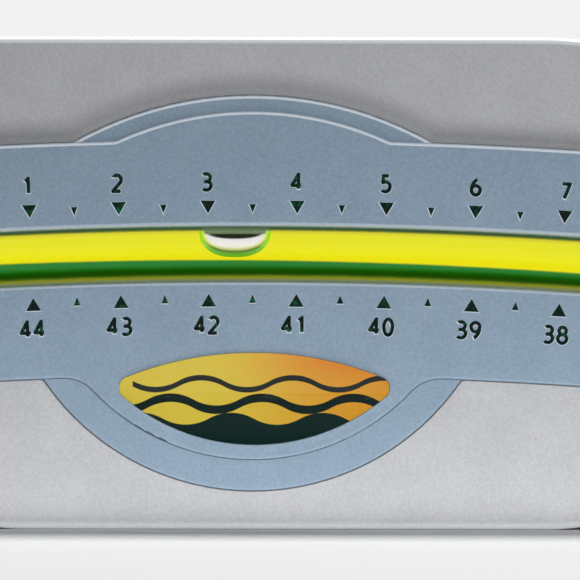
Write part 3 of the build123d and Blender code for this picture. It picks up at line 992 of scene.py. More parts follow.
@dataclass(frozen=True, kw_only=True)
class BubbleSkin(Finish):
    """The bubble as the tube shows it, painted: a green rim, a white window, a black line and a dull strip
    on top, all painted refraction and reflection with a painted glow.

    The sizes of its ovals are a length and a depth, as shares of the bubble's own.

    Attributes:
        bend: the vial's axis.
        bore: radius of the bore.
        bubble: the bubble.
        inner: oval within the rim.
        haze: oval of the haze round the window.
        window: oval of the window.
        line: oval of the black line.
        strip: oval whose top is the dull strip.
        strip_low: depths at which the strip ends and is full, as shares of the bubble's.
    """

    name: str = "bubble_skin"
    slot: str = "vial_liquid"
    bend: Bend
    bore: float
    bubble: Bubble
    inner: tuple[float, float] = (0.93, 0.86)
    haze: tuple[float, float] = (0.885, 0.745)
    window: tuple[float, float] = (0.825, 0.665)
    line: tuple[float, float] = (0.81, 0.315)
    strip: tuple[float, float] = (0.86, 0.9)
    strip_low: tuple[float, float] = (0.155, 0.09)

    def bowl(self, coat: Coat, size: tuple[float, float], soft: float = 0.12 * MM) -> Value:
        """Half oval that hangs from the top of the bore.

        On its outline the shares of its length and of its depth, each raised to the fullness, add up to one.

        Args:
            coat: the new material.
            size: its length and its depth.
            soft: half the width of its soft outline.

        Returns:
            One inside, nought outside.
        """
        power = self.bubble.fullness
        length, depth = size[0] * self.bubble.half_length, size[1] * self.bubble.depth
        side = abs(coat.arc_length(self.bend) - self.bubble.middle)
        down = (self.bore - coat.arc_height(self.bend)).higher(0.0)
        reach = ((side / length) ** power + (down / depth) ** power) ** (1 / power)
        return reach.rise(1 + soft / depth, 1 - soft / depth)

    def pattern(self, coat: Coat) -> None:
        """Writes nested half ovals, each with its colours from the top down, and the strip across them.

        Args:
            coat: the new material.
        """
        # Each band is painted lighter or darker from the top down: painted refraction and reflection.
        down = (self.bore - coat.arc_height(self.bend)) * (1 / self.bubble.depth)
        rim = coat.mix(down.rise(0.3, 0.9), (150, 224, 12), (94, 172, 2))
        inner = coat.mix(down.rise(0.2, 0.72), (196, 226, 60), (84, 128, 0))
        haze = coat.mix(down.rise(0.35, 0.72), (238, 234, 150), (196, 198, 112))
        window = coat.mix(down.rise(0.42, 0.62), (241, 236, 234), (238, 233, 212))
        colour = coat.mix(self.bowl(coat, self.inner), rim, inner)
        colour = coat.mix(self.bowl(coat, self.haze), colour, haze)
        colour = coat.mix(self.bowl(coat, self.window, 0.25 * MM), colour, window)
        colour = coat.mix(self.bowl(coat, self.line, 0.2 * MM), colour, (14, 20, 6))
        strip = down.rise(*self.strip_low) * self.bowl(coat, self.strip)
        dull = coat.mix(coat.noise(0.7 * MM).rise(0.35, 0.65), (104, 120, 90), (122, 140, 108))
        coat.glow(coat.mix(strip, colour, dull), VIAL_GLOW, VIAL_LIT)
        coat.set(Roughness=coat.noise(0.8 * MM) * 0.05 + 0.06, Coat_Weight=0.2, Coat_Roughness=0.03)


@dataclass(frozen=True, kw_only=True)
class ClearWall(Finish):
    """Wall of the clear tube: nearly unseen in the middle, with painted refraction at its edges: dark green
    at its top edge and olive below.

    Attributes:
        bend: the vial's axis.
        bore: radius of the bore.
        radius: outer radius.
        bubble: the bubble.
        wander: how far the streaks move the bands, as a share of the wall.
        glow: strength of its painted glow.
        lit: share of its colour that is left for outside light.
        top: bands of the top edge, by the share of the wall outside the bore.
        over_bubble: bands of the top edge over the bubble.
        bottom: bands of the bottom edge.
    """

    name: str = "clear_tube_wall"
    slot: str = "clear_tube"
    bend: Bend
    bore: float
    radius: float
    bubble: Bubble
    wander: float = 0.25
    glow: float = 0.55
    lit: float = 0.5
    top: tuple[Stop, ...] = (
        (-0.1, (200, 192, 50)),
        (0.2, (122, 132, 48)),
        (0.45, (70, 98, 54)),
        (0.75, (66, 100, 68)),
        (1.0, (92, 126, 104)),
    )
    over_bubble: tuple[Stop, ...] = (
        (0.0, (118, 138, 102)),
        (0.35, (106, 132, 92)),
        (0.7, (88, 114, 70)),
        (1.0, (100, 122, 98)),
    )
    bottom: tuple[Stop, ...] = (
        (1.0, (128, 146, 120)),
        (0.45, (150, 158, 72)),
        (0.15, (160, 162, 34)),
        (-0.1, (120, 130, 6)),
    )

    def pattern(self, coat: Coat) -> None:
        """Writes the painted refraction bands of both edges, with a painted glow; opacity grows where the
        wall is seen along its thickness.

        Args:
            coat: the new material.
        """
        height = coat.arc_height(self.bend)
        wall = self.radius - self.bore
        streak = coat.noise(1.6 * MM, 3.0)
        wandering = height + (streak - 0.5) * (self.wander * wall)
        # Painted refraction bands at the top and bottom edges.
        top, over_bubble, bottom = (
            coat.bands(wandering, *((way * (self.bore + share * wall), colour) for share, colour in stops))
            for way, stops in ((1, self.top), (1, self.over_bubble), (-1, self.bottom))
        )
        side = abs(coat.arc_length(self.bend) - self.bubble.middle)
        near = side.rise(self.bubble.half_length, 0.88 * self.bubble.half_length)
        upper = height.rise(-0.1 * self.bore, 0.1 * self.bore)
        coat.glow(coat.mix(upper, bottom, coat.mix(near, top, over_bubble)), self.glow, self.lit)
        edge = abs(height).rise(self.bore - 0.22 * wall, self.bore + 0.02 * wall)
        coat.set(Alpha=edge * 0.95 + 0.02, Roughness=streak * 0.04 + 0.05)


@dataclass(frozen=True, kw_only=True)
class PrintedGround(Finish):
    """Printed ground of the badge: yellow on the left, orange towards the top and the right.

    Attributes:
        low: lowest corner of the film.
        high: highest corner of the film.
        warm_from: share of the left half at which it starts to turn orange.
        warm_at: share of the right half at which it is orange.
        deep_from: share of the height at which the orange starts to deepen.
        dot: spacing of the dots of the print.
    """

    name: str = "badge_ground_print"
    slot: str = "badge_ground"
    low: Vector
    high: Vector
    warm_from: float = 0.4
    warm_at: float = 0.85
    deep_from: float = 0.55
    dot: float = 0.24 * MM

    def pattern(self, coat: Coat) -> None:
        """Writes colours blended across the film, with the faint dots of the print.

        Args:
            coat: the new material.
        """
        x, _, z = coat.axes()
        across = x.rise(self.low.x * self.warm_from, self.high.x * self.warm_at)
        up = z.rise(self.low.z + self.deep_from * (self.high.z - self.low.z), self.high.z)
        warm = coat.mix(up, (248, 204, 64), (250, 168, 30))
        colour = coat.mix(across, (252, 244, 112), warm)
        dots = coat.cells(self.dot).rise(0.25, 0.5)
        colour = coat.mix(dots * 0.12, colour, (250, 226, 130))
        coat.set(Base_Color=colour, Roughness=coat.noise(1.2 * MM) * 0.1 + 0.25)
        coat.bump(coat.noise(0.8 * MM), 0.01 * MM, 0.3)


@dataclass(frozen=True, kw_only=True)
class PrintedInk(Finish):
    """Dark green ink of the badge's fields.

    Attributes:
        low: lowest corner of the print.
        high: highest corner of the print.
        green_at: share of the height at which it is greenest.
    """

    name: str = "badge_ink_print"
    slot: str = "badge_ink"
    low: Vector
    high: Vector
    green_at: float = 0.3

    def pattern(self, coat: Coat) -> None:
        """Writes it nearly black at the top and greener below, with a fine print grain.

        Args:
            coat: the new material.
        """
        _, _, z = coat.axes()
        grain = coat.noise(0.3 * MM)
        deep = coat.mix(grain.rise(0.3, 0.7), (0, 18, 18), (6, 28, 28))
        green = coat.mix(grain.rise(0.3, 0.7), (4, 44, 46), (14, 54, 54))
        down = z.rise(self.high.z, self.low.z + self.green_at * (self.high.z - self.low.z))
        coat.set(Base_Color=coat.mix(down, deep, green), Roughness=grain * 0.15 + 0.3)
        coat.bump(grain, 0.006 * MM, 0.4)


@dataclass(frozen=True, kw_only=True)
class PouredResin(Finish):
    """Clear resin poured over the print.

    Attributes:
        colour: its faint tint.
        shade: the tint that it gives to the light of lamps.
        index: its refractive index.
    """

    name: str = "clear_resin_dome"
    slot: str = "clear_resin"
    colour: Colour = (255, 250, 238)
    shade: Colour = (255, 253, 248)
    index: float = 1.4

    def pattern(self, coat: Coat) -> None:
        """Writes smooth glass that lamps shine through to the print.

        Args:
            coat: the new material.
        """
        swirl = coat.noise(5 * MM)
        coat.set(
            Base_Color=linear(self.colour),
            Transmission_Weight=1.0,
            IOR=self.index,
            Roughness=swirl * 0.03,
        )
        coat.bump(swirl, 0.02 * MM, 0.2)
        coat.open_to_lamps(self.shade)


def dress(node: str, finish: Finish) -> None:
    """Gives a carried-over node its finish.

    Args:
        node: name of the node.
        finish: its finish.
    """
    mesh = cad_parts[node].data
    mesh.materials.clear()
    mesh.materials.append(finish.material())
    LOG.info("dressed %s with %s", node, finish.name)


def fit(piece: bpy.types.Object, finish: Finish, *nodes: str) -> None:
    """Gives a new piece its finish and body.

    Args:
        piece: the piece.
        finish: its finish.
        nodes: the nodes whose place it takes, if any.
    """
    piece.data.materials.clear()
    piece.data.materials.append(finish.material())
    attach(piece, BODY)
    if nodes:
        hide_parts(*nodes)
    LOG.info("built %s with %s, %d faces", piece.name, finish.name, len(piece.data.polygons))


class Turn(Enum):
    """Which way a triangle points."""

    DOWN = 1
    UP = -1


def arc(centre: tuple[float, float], radii: tuple[float, float], start: float, end: float) -> np.ndarray:
    """Stroke along part of an ellipse: centre plus the radii times the cosine and sine of the angle.

    Args:
        centre: middle of the ellipse.
        radii: half its width and half its height.
        start: first angle in degrees, from the right and up.
        end: last angle.

    Returns:
        Points of the stroke, about fifteen degrees apart.
    """
    steps = max(3, round(abs(end - start) / 15) + 1)
    turn = np.radians(np.linspace(start, end, steps))
    return np.stack([centre[0] + radii[0] * np.cos(turn), centre[1] + radii[1] * np.sin(turn)], axis=1)


def line(*points: tuple[float, float]) -> np.ndarray:
    """Stroke with straight runs between points."""
    return np.array(points, float)


def joined(*strokes: np.ndarray) -> np.ndarray:
    """One stroke made of several, end to end."""
    return np.concatenate(strokes)


def six(turn: int) -> list[np.ndarray]:
    """Strokes of a six.

    Args:
        turn: one, or minus one to turn it into a nine.

    Returns:
        The bowl and the tail.
    """
    bowl = arc((0, -0.42), (0.92, 0.58), 0, 360)
    tail = arc((0.78, -0.42), (1.7, 1.44), 180, 100)
    return [turn * bowl, turn * tail]


def digit_strokes(digit: int) -> list[np.ndarray]:
    """Centre lines of a figure, in a box from -1 to 1 each way.

    Args:
        digit: the figure, 0 to 9.

    Returns:
        One array of points for each stroke of the tool.
    """
    shapes = {
        0: [arc((0, 0), (0.92, 1), 0, 360)],
        1: [line((-0.62, 0.5), (0.2, 1), (0.2, -1))],
        2: [joined(arc((-0.03, 0.42), (0.88, 0.6), 160, -28), line((-0.95, -1), (0.95, -1)))],
        3: [
            joined(arc((-0.1, 0.52), (0.84, 0.5), 150, -90), arc((-0.12, -0.48), (1.0, 0.54), 90, -150)),
            line((-0.45, 0.02), (-0.1, 0.02)),
        ],
        4: [line((0.42, -1), (0.42, 1), (-0.95, -0.42), (0.98, -0.42))],
        5: [joined(line((0.8, 1), (-0.62, 1), (-0.7, 0.14)), arc((-0.16, -0.38), (0.98, 0.62), 110, -150))],
        6: six(1),
        7: [line((-0.95, 1), (0.92, 1), (-0.25, -1))],
        8: [arc((0, 0.52), (0.76, 0.48), 0, 360), arc((0, -0.46), (0.94, 0.54), 0, 360)],
        9: six(-1),
    }
    return shapes[digit]


@dataclass(frozen=True)
class Engraving:
    """Strokes cut into the front of the plate, in front-view millimetres.

    Attributes:
        strokes: centre lines of the tool's path.
        half_width: half the width of the painted floor.
        rim: width of the slope round the floor.
    """

    strokes: list[np.ndarray]
    half_width: float
    rim: float

    def distance(self, points: np.ndarray) -> np.ndarray:
        """Distance of points from the edge of the painted floor, negative inside.

        It is the distance to the nearest run of any stroke, less half the floor's width.

        Args:
            points: front-view places, one row each.

        Returns:
            One distance for each point.
        """
        starts = np.concatenate([stroke[:-1] for stroke in self.strokes])
        runs = np.concatenate([stroke[1:] - stroke[:-1] for stroke in self.strokes])
        away = points[:, None] - starts
        share = np.clip((away * runs).sum(-1) / np.maximum((runs * runs).sum(-1), NO_LENGTH), 0, 1)
        gap = away - share[..., None] * runs
        return np.sqrt((gap * gap).sum(-1)).min(axis=1) - self.half_width

    def box(self, margin: float) -> tuple[np.ndarray, np.ndarray]:
        """Corners of the box round the strokes, grown by margin."""
        points = np.concatenate(self.strokes)
        return points.min(axis=0) - margin, points.max(axis=0) + margin

    def outlines(self) -> list[np.ndarray]:
        """Closed outlines of the floor and of the rim round it, for each stroke.

        Each vertex of the stroke is pushed out along directions that turn from the normal of the run before
        it to the normal of the run after it: three directions on a ring, five on an open stroke. At a free
        end they turn through half a circle.

        Returns:
            Points of each outline.
        """
        found = []
        for stroke in self.strokes:
            ring = bool(np.allclose(stroke[0], stroke[-1], atol=1e-6))
            path = stroke[:-1] if ring else stroke
            tour = path if ring else np.concatenate([path, path[-2:0:-1]])
            before = tour - np.roll(tour, 1, axis=0)
            after = np.roll(before, -1, axis=0)
            first = np.arctan2(-before[:, 0], before[:, 1])
            swing = np.arctan2(-after[:, 0], after[:, 1]) - first
            swing = (swing + np.pi) % (2 * np.pi) - np.pi
            if not ring:
                swing[[0, len(path) - 1]] = -np.pi
            turn = first[:, None] + swing[:, None] * np.linspace(0, 1, 3 if ring else 5)
            push = np.stack([np.cos(turn), np.sin(turn)], axis=-1)
            for way in (1, -1) if ring else (1,):
                for reach in (self.half_width, self.half_width + self.rim):
                    found.append((tour[:, None] + reach * way * push).reshape(-1, 2))
        return found


@dataclass(frozen=True)
class TriangleRim:
    """Sloped rim round the pocket of one triangular mark, in front-view millimetres.

    Attributes:
        corners: the pocket's three corners.
        rim: width of the slope.
    """

    corners: np.ndarray
    rim: float

    def sides(self) -> tuple[np.ndarray, np.ndarray]:
        """Works out the three sides: each is square to its run, and points away from the middle.

        Returns:
            Their outward directions, and how far each side lies along its own direction.
        """
        run = np.roll(self.corners, -1, axis=0) - self.corners
        out = np.stack([run[:, 1], -run[:, 0]], axis=1)
        out /= np.linalg.norm(out, axis=1)[:, None]
        middle = self.corners.mean(axis=0)
        out *= np.sign(((self.corners - middle) * out).sum(axis=1))[:, None]
        return out, (self.corners * out).sum(axis=1)

    def distance(self, points: np.ndarray) -> np.ndarray:
        """Distance of points from the pocket's edge: the most that they lie beyond any side."""
        out, reach = self.sides()
        return (points @ out.T - reach).max(axis=1)

    def box(self, margin: float) -> tuple[np.ndarray, np.ndarray]:
        """Corners of the box round the triangle, grown by margin."""
        return self.corners.min(axis=0) - margin, self.corners.max(axis=0) + margin

    def outlines(self) -> list[np.ndarray]:
        """The triangle grown by the rim: each corner is where two moved sides meet.

        Returns:
            The one outline.
        """
        out, reach = self.sides()
        pairs = np.stack([np.roll(out, 1, axis=0), out], axis=1)
        moved = np.stack([np.roll(reach, 1), reach], axis=1) + self.rim
        return [np.linalg.solve(pairs, moved[..., None])[..., 0]]


@dataclass(frozen=True)
class DegreeScale:
    """One of the two scales: its marks and figures.

    Attributes:
        name: name of the scale.
        first: figure at the left end.
        step: how the figure changes from mark to mark.
        mark_height: height of the whole-degree marks above the vial's axis.
        figure_height: height of the figures above the axis.
        figure_shift: how far the figures stand to the right of their marks.
        turn: which way the triangles point.
        count: number of whole-degree marks.
        half_shift: how much nearer to the vial the half-degree marks are.
        mark: width and height of the whole-degree marks.
        half_mark: width and height of the half-degree marks.
        figure: width and height of a digit.
        pitch: distance from one digit to the next.
        stroke: width of the digits' painted floor.
        rim: width of the slope round the floors.
    """

    name: str
    first: int
    step: int
    mark_height: float
    figure_height: float
    figure_shift: float
    turn: Turn
    count: int = 8
    half_shift: float = 0.3 * MM
    mark: tuple[float, float] = (3.0 * MM, 2.6 * MM)
    half_mark: tuple[float, float] = (1.35 * MM, 1.7 * MM)
    figure: tuple[float, float] = (2.6 * MM, 3.9 * MM)
    pitch: float = 2.8 * MM
    stroke: float = 0.7 * MM
    rim: float = 0.17 * MM

    def placed(self, bend: Bend, reading: float, height: float, shape: np.ndarray) -> np.ndarray:
        """Turns and moves a front-view shape to a reading, and gives it in millimetres.

        The shape's own X runs along the arc and its Z away from the bend's centre, both straight.

        Args:
            bend: the vial's axis.
            reading: degrees from the left end of the scale.
            height: height of the shape's middle above the axis.
            shape: points of the shape about its middle.

        Returns:
            The points on the plate.
        """
        angle = math.radians(reading - MIDDLE_READING)
        along = np.array([math.cos(angle), -math.sin(angle)])
        outwards = np.array([math.sin(angle), math.cos(angle)])
        centre = np.array([0, bend.centre_z]) + (bend.radius + height) * outwards
        return (centre + shape[:, :1] * along + shape[:, 1:] * outwards) / MM

    def triangles(self, bend: Bend) -> list[TriangleRim]:
        """Works out the rims of the marks: a triangle at every half degree.

        Args:
            bend: the vial's axis.

        Returns:
            The rims, whole-degree and half-degree marks by turns.
        """
        rims = []
        way = self.turn.value
        for index in range(2 * self.count - 1):
            width, tall = self.half_mark if index % 2 else self.mark
            nearer = self.half_shift if index % 2 else 0.0
            side, base = width / 2, way * tall / 2
            shape = np.array([[-side, base], [side, base], [0, -base]])
            corners = self.placed(bend, index / 2, self.mark_height - way * nearer, shape)
            rims.append(TriangleRim(corners, self.rim / MM))
        return rims

    def figures(self, bend: Bend) -> list[Engraving]:
        """Works out the figures: a digit's strokes fill its box but for half the stroke's width.

        Args:
            bend: the vial's axis.

        Returns:
            One engraving for each digit.
        """
        found = []
        half = np.array([self.figure[0] - self.stroke, self.figure[1] - self.stroke]) / 2
        for reading in range(self.count):
            digits = str(self.first + self.step * reading)
            for place, digit in enumerate(digits):
                shift = self.figure_shift + (place - (len(digits) - 1) / 2) * self.pitch
                offset = np.array([shift, 0.0])
                strokes = [
                    self.placed(bend, reading, self.figure_height, stroke * half + offset)
                    for stroke in digit_strokes(int(digit))
                ]
                found.append(Engraving(strokes, self.stroke / 2 / MM, self.rim / MM))
        return found


@dataclass
class FacePlate:
    """Face plate with its engraved signs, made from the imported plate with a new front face.

    Attributes:
        bend: the vial's axis.
        scales: the two scales.
        floor_depth: depth of the engraved floors.
        paint_depth: depth of the paint's skin below the face.
        node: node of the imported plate.
        near: distance beyond which a sign isn't looked at, in front-view millimetres.
        tolerance: distance within which the division joins points, in front-view millimetres.
    """

    bend: Bend
    scales: tuple[DegreeScale, DegreeScale]
    floor_depth: float = 0.12 * MM
    paint_depth: float = 0.10 * MM
    node: str = "face_plate"
    near: float = 1.0
    tolerance: float = 1e-4

    def __post_init__(self) -> None:
        """Works out the signs of both scales."""
        self.face_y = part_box(self.node)[0].y
        self.rim = self.scales[0].rim / MM
        self.figures = {scale.name: scale.figures(self.bend) for scale in self.scales}
        self.cuts = [cut for group in self.figures.values() for cut in group]
        self.rims = [rim for scale in self.scales for rim in scale.triangles(self.bend)]

    def packed_plate(self) -> tuple[np.ndarray, np.ndarray, np.ndarray]:
        """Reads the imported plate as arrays.

        Returns:
            Welded vertices, the three vertex numbers of each triangle, and the normals of its three corners.
        """
        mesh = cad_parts[self.node].data
        corners = np.empty(len(mesh.vertices) * 3, np.float32)
        mesh.vertices.foreach_get("co", corners)
        loops = np.empty(len(mesh.loops), np.int32)
        mesh.loops.foreach_get("vertex_index", loops)
        normals = np.empty(len(mesh.loops) * 3, np.float32)
        mesh.corner_normals.foreach_get("vector", normals)
        places = corners.reshape(-1, 3).astype(float)
        _, first, same = np.unique(np.round(places / WELD), axis=0, return_index=True, return_inverse=True)
        return places[first], same.ravel()[loops].reshape(-1, 3), normals.reshape(-1, 3, 3)

    def sign_distance(self, points: np.ndarray, signs: Sequence[Engraving | TriangleRim]) -> np.ndarray:
        """Distance of points from the edge of the nearest sign.

        Args:
            points: front-view places, one row each.
            signs: the signs.

        Returns:
            One distance for each point, no more than that beyond which signs aren't looked at.
        """
        least = np.full(len(points), self.near)
        for sign in signs:
            low, high = sign.box(self.near)
            near = np.flatnonzero(((points > low) & (points < high)).all(axis=1))
            if len(near):
                least[near] = np.minimum(least[near], sign.distance(points[near]))
        return least

    def front_sheet(self, corners: np.ndarray, edges: np.ndarray) -> tuple[np.ndarray, np.ndarray]:
        """Divides the front face into triangles that follow its outlines and those of the signs.

        Args:
            corners: the plate's vertices.
            edges: vertex numbers of the front face's outlines.

        Returns:
            Front-view places in millimetres, and the three numbers of each triangle on the face.
        """
        seen = corners[:, [0, 2]] / MM
        used, numbers = np.unique(edges, return_inverse=True)
        rings = [ring for sign in self.cuts + self.rims for ring in sign.outlines()]
        joins = [numbers.reshape(-1, 2)]
        count = len(used)
        for ring in rings:
            tour = count + np.arange(len(ring))
            joins.append(np.stack([tour, np.roll(tour, -1)], axis=1))
            count += len(ring)
        points = np.concatenate([seen[used], *rings])
        result = delaunay_2d_cdt(
            points.tolist(), np.concatenate(joins).tolist(), [], 0, self.tolerance, False
        )
        sheet = np.array(result[0], float)
        triangles = np.array(result[2])
        return sheet, triangles[inside(sheet[triangles].mean(axis=1), seen[edges])]

    def sunk(self, sheet: np.ndarray, faces: np.ndarray) -> np.ndarray:
        """Depth of each point of the front face: the signs' floors, and rims that slope down to them.

        Args:
            sheet: front-view places.
            faces: the triangles on the face.

        Returns:
            One depth for each point, nought on every triangle beyond the rims.
        """
        depths = [
            depth * np.clip(1 - self.sign_distance(sheet, signs) / self.rim, 0, 1)
            for depth, signs in ((self.floor_depth, self.cuts), (self.paint_depth, self.rims))
        ]
        sink = np.maximum(*depths)
        beyond = self.sign_distance(sheet[faces].mean(axis=1), self.cuts + self.rims) > self.rim
        sink[faces[beyond]] = 0
        return sink

    def build(self) -> list[bpy.types.Object]:
        """Builds the plate and the paint of its figures.

        Returns:
            The plate, then one piece of paint for each scale.
        """
        corners, triangles, normals = self.packed_plate()
        on_front = (corners[triangles][:, :, 1] < self.face_y + WELD).all(axis=1)
        sheet, faces = self.front_sheet(corners, outline_edges(triangles[on_front]))
        front = np.stack([sheet[:, 0] * MM, self.face_y + self.sunk(sheet, faces), sheet[:, 1] * MM], axis=1)
        pieces = [self.joined_plate(corners, triangles[~on_front], normals[~on_front], front, faces)]
        middles = sheet[faces].mean(axis=1)
        for name, group in self.figures.items():
            floor = faces[self.sign_distance(middles, group) < 0]
            pieces.append(self.paint(f"{name}_figures", front, floor))
        return pieces

    def moved_outline(self, corners: np.ndarray, front: np.ndarray, step: float = 1e-6) -> np.ndarray:
        """Moves the old outline's vertices to the new vertices that stand in front of them.

        Args:
            corners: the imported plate's vertices.
            front: vertices of the new front face.
            step: size of the steps in which front-view places are compared.

        Returns:
            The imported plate's vertices, with those of its outlines moved.
        """
        outline = np.flatnonzero(corners[:, 1] < self.face_y + WELD)
        seen = np.concatenate([front, corners[outline]])[:, [0, 2]]
        _, group = np.unique(np.round(seen / step), axis=0, return_inverse=True)
        new_group, old_group = np.split(group.ravel(), [len(front)])
        newest = np.full(group.max() + 1, -1)
        newest[new_group] = np.arange(len(front))
        match = newest[old_group]
        moved = corners.copy()
        moved[outline[match >= 0]] = front[match[match >= 0]]
        return moved

    def joined_plate(
        self,
        corners: np.ndarray,
        kept: np.ndarray,
        normals: np.ndarray,
        front: np.ndarray,
        faces: np.ndarray,
    ) -> bpy.types.Object:
        """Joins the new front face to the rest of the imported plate.

        A vertex of the old outline takes the place of the new vertex that stands in front of it, so that the
        walls of the triangular pockets end where their rims end. The old triangles keep their normals, and
        each new triangle is flat.

        Args:
            corners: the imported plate's vertices.
            kept: its triangles behind the front face.
            normals: the normals of their corners.
            front: vertices of the new front face.
            faces: its triangles.

        Returns:
            The plate.
        """
        places = np.concatenate([self.moved_outline(corners, front), front])
        faces, flat = facing_front(places, faces + len(corners))
        mesh = mesh_of("face_plate_engraved", places, np.concatenate([kept, faces]))
        mesh.polygons.foreach_set("use_smooth", np.arange(len(kept) + len(faces)) < len(kept))
        every = np.concatenate([normals.reshape(-1, 3), np.repeat(flat, 3, axis=0)])
        mesh.normals_split_custom_set(every.astype(np.float32).tolist())
        return link(mesh, "face_plate_engraved")

    def paint(self, name: str, front: np.ndarray, floor: np.ndarray) -> bpy.types.Object:
        """Makes the paint of one scale's figures: its floors, lifted off and given a thickness.

        Args:
            name: name of the piece.
            front: vertices of the new front face.
            floor: the triangles of the floors.

        Returns:
            The paint.
        """
        used, numbers = np.unique(floor, return_inverse=True)
        places = front[used].copy()
        places[:, 1] = self.face_y + self.paint_depth
        faces, _ = facing_front(places, numbers.reshape(-1, 3))
        piece = link(mesh_of(name, places, faces), name)
        depth = piece.modifiers.new("paint depth", "SOLIDIFY")
        depth.thickness = self.floor_depth - self.paint_depth
        depth.offset = -1.0
        return piece

    def make(self, plate_finish: SprayedPaint, paint: InkedPaint) -> None:
        """Builds and dresses the plate, its figures and the paint of its marks.

        Args:
            plate_finish: finish of the plate.
            paint: finish of the figures and the marks.
        """
        plate, *figures = self.build()
        fit(plate, plate_finish, self.node)
        for piece in figures:
            fit(piece, paint)
        for scale in self.scales:
            dress(f"{scale.name}_degree_marks", paint)
            dress(f"{scale.name}_half_marks", paint)


@dataclass
class Vial:
    """Bent vial with its liquid and bubble.

    Attributes:
        bend: its axis.
        radius: outer radius of the tube.
        wall: thickness of the tube's wall.
        edge: radius of the eased edges of the tube's ends.
        gap: gap between the liquid and the bore.
        reading: reading at the bubble's middle, from the left end of the scale.
    """

    bend: Bend
    radius: float = 5.5 * MM
    wall: float = 0.8 * MM
    edge: float = 0.25 * MM
    gap: float = 0.02 * MM
    reading: float = 3.3

    def __post_init__(self) -> None:
        """Works out the bore and places the bubble."""
        self.bore = self.radius - self.wall
        self.air = Bubble(math.radians(self.reading - MIDDLE_READING) * self.bend.radius)

    def round_points(self, along: np.ndarray, across: np.ndarray, height: np.ndarray) -> np.ndarray:
        """Points round the axis.

        Args:
            along: distances along the axis.
            across: distances behind it.
            height: distances above it.

        Returns:
            X, Y, Z of each point.
        """
        x, z = self.bend.front_view(along, height)
        y = np.broadcast_to(self.bend.axis_y + across, x.shape)
        return np.stack([x, y, z], axis=-1)

    def reach(self, node: str) -> float:
        """How far a node reaches along the axis: the angle of its end, half a radius up, as a length."""
        _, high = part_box(node)
        return math.asin(high.x / (self.bend.radius + self.radius * 0.5)) * self.bend.radius

    def tube(self) -> bpy.types.Object:
        """Tube: a closed profile of its wall, with eased edges, turned round the bent axis.

        The first parameter runs round the wall's section: along the outside, over the right end, back along
        the bore and over the left end. The second is the angle about the axis.

        Returns:
            The tube.
        """
        along_steps, edge_steps, round_steps = 120, 4, 64
        half = self.reach("vial_tube")
        run = np.linspace(-half + self.edge, half - self.edge, along_steps)
        ease = np.linspace(0, np.pi / 2, edge_steps)[1:-1]
        middle = self.radius - self.wall / 2
        lift = self.wall / 2 - self.edge
        right = np.concatenate([np.pi / 2 - ease, [0], -ease])
        end_along = half - self.edge + self.edge * np.cos(right)
        end_radius = middle + np.sign(np.round(np.sin(right), 9)) * lift + self.edge * np.sin(right)
        along = np.concatenate([run, end_along, run[::-1], -end_along[::-1]])
        radius = np.concatenate(
            [np.full(run.shape, self.radius), end_radius, np.full(run.shape, self.bore), end_radius[::-1]]
        )
        angle = np.linspace(0, 2 * np.pi, round_steps, endpoint=False)
        points = self.round_points(
            np.broadcast_to(along[:, None], (len(along), len(angle))),
            radius[:, None] * np.cos(angle),
            radius[:, None] * np.sin(angle),
        )
        return grid_piece("vial_tube_clear", points, (True, True))

    def liquid(self) -> bpy.types.Object:
        """Liquid: a round bent rod whose height is cut off at the bubble's floor.

        The first parameter runs from the middle of the left end, along the rod, to the middle of the right
        end, and the second is the angle about the axis. Heights stop at the bore's top less the bubble's
        depth.

        Returns:
            The liquid.
        """
        left_steps, bubble_steps, right_steps, round_steps = 50, 49, 60, 96
        half = self.reach("vial_fluid")
        middle, half_length = self.air.middle, self.air.half_length
        run = np.concatenate(
            [
                np.linspace(-half, middle - half_length, left_steps)[:-1],
                middle + half_length * np.cos(np.linspace(np.pi, 0, bubble_steps)),
                np.linspace(middle + half_length, half, right_steps)[1:],
            ]
        )
        along = np.concatenate([[-half], run, [half]])
        radius = np.concatenate([[0], np.full(run.shape, self.bore - self.gap), [0]])
        angle = np.linspace(0, 2 * np.pi, round_steps, endpoint=False)
        height = radius[:, None] * np.sin(angle)
        height = np.minimum(height, (self.bore - self.air.depth_at(along))[:, None])
        points = self.round_points(
            np.broadcast_to(along[:, None], height.shape), radius[:, None] * np.cos(angle), height
        )
        return grid_piece("vial_liquid_core", points, (False, True))

    def bubble(self) -> bpy.types.Object:
        """Bubble: at each place along the vial, the part of the bore's circle above the bubble's floor.

        The first parameter runs along the bubble, closer together at its ends. The second goes round the
        part of the circle: over its arc, then back along the flat floor.

        Returns:
            The bubble.
        """
        along_steps, arc_steps, floor_steps = 65, 40, 24
        along = self.air.middle + self.air.half_length * np.cos(np.linspace(np.pi, 0, along_steps))
        floor = self.bore - self.air.depth_at(along)
        opening = np.arccos(np.clip(floor / self.bore, -1, 1))
        swing = np.linspace(-1, 1, arc_steps)
        arc_y = self.bore * np.sin(opening[:, None] * swing)
        arc_z = self.bore * np.cos(opening[:, None] * swing)
        back = np.linspace(1, -1, floor_steps)[1:-1]
        floor_y = self.bore * np.sin(opening)[:, None] * back
        floor_z = np.broadcast_to(floor[:, None], floor_y.shape)
        across = np.concatenate([arc_y, floor_y], axis=1)
        height = np.concatenate([arc_z, floor_z], axis=1)
        points = self.round_points(np.broadcast_to(along[:, None], across.shape), across, height)
        return grid_piece("vial_bubble", points, (False, True))

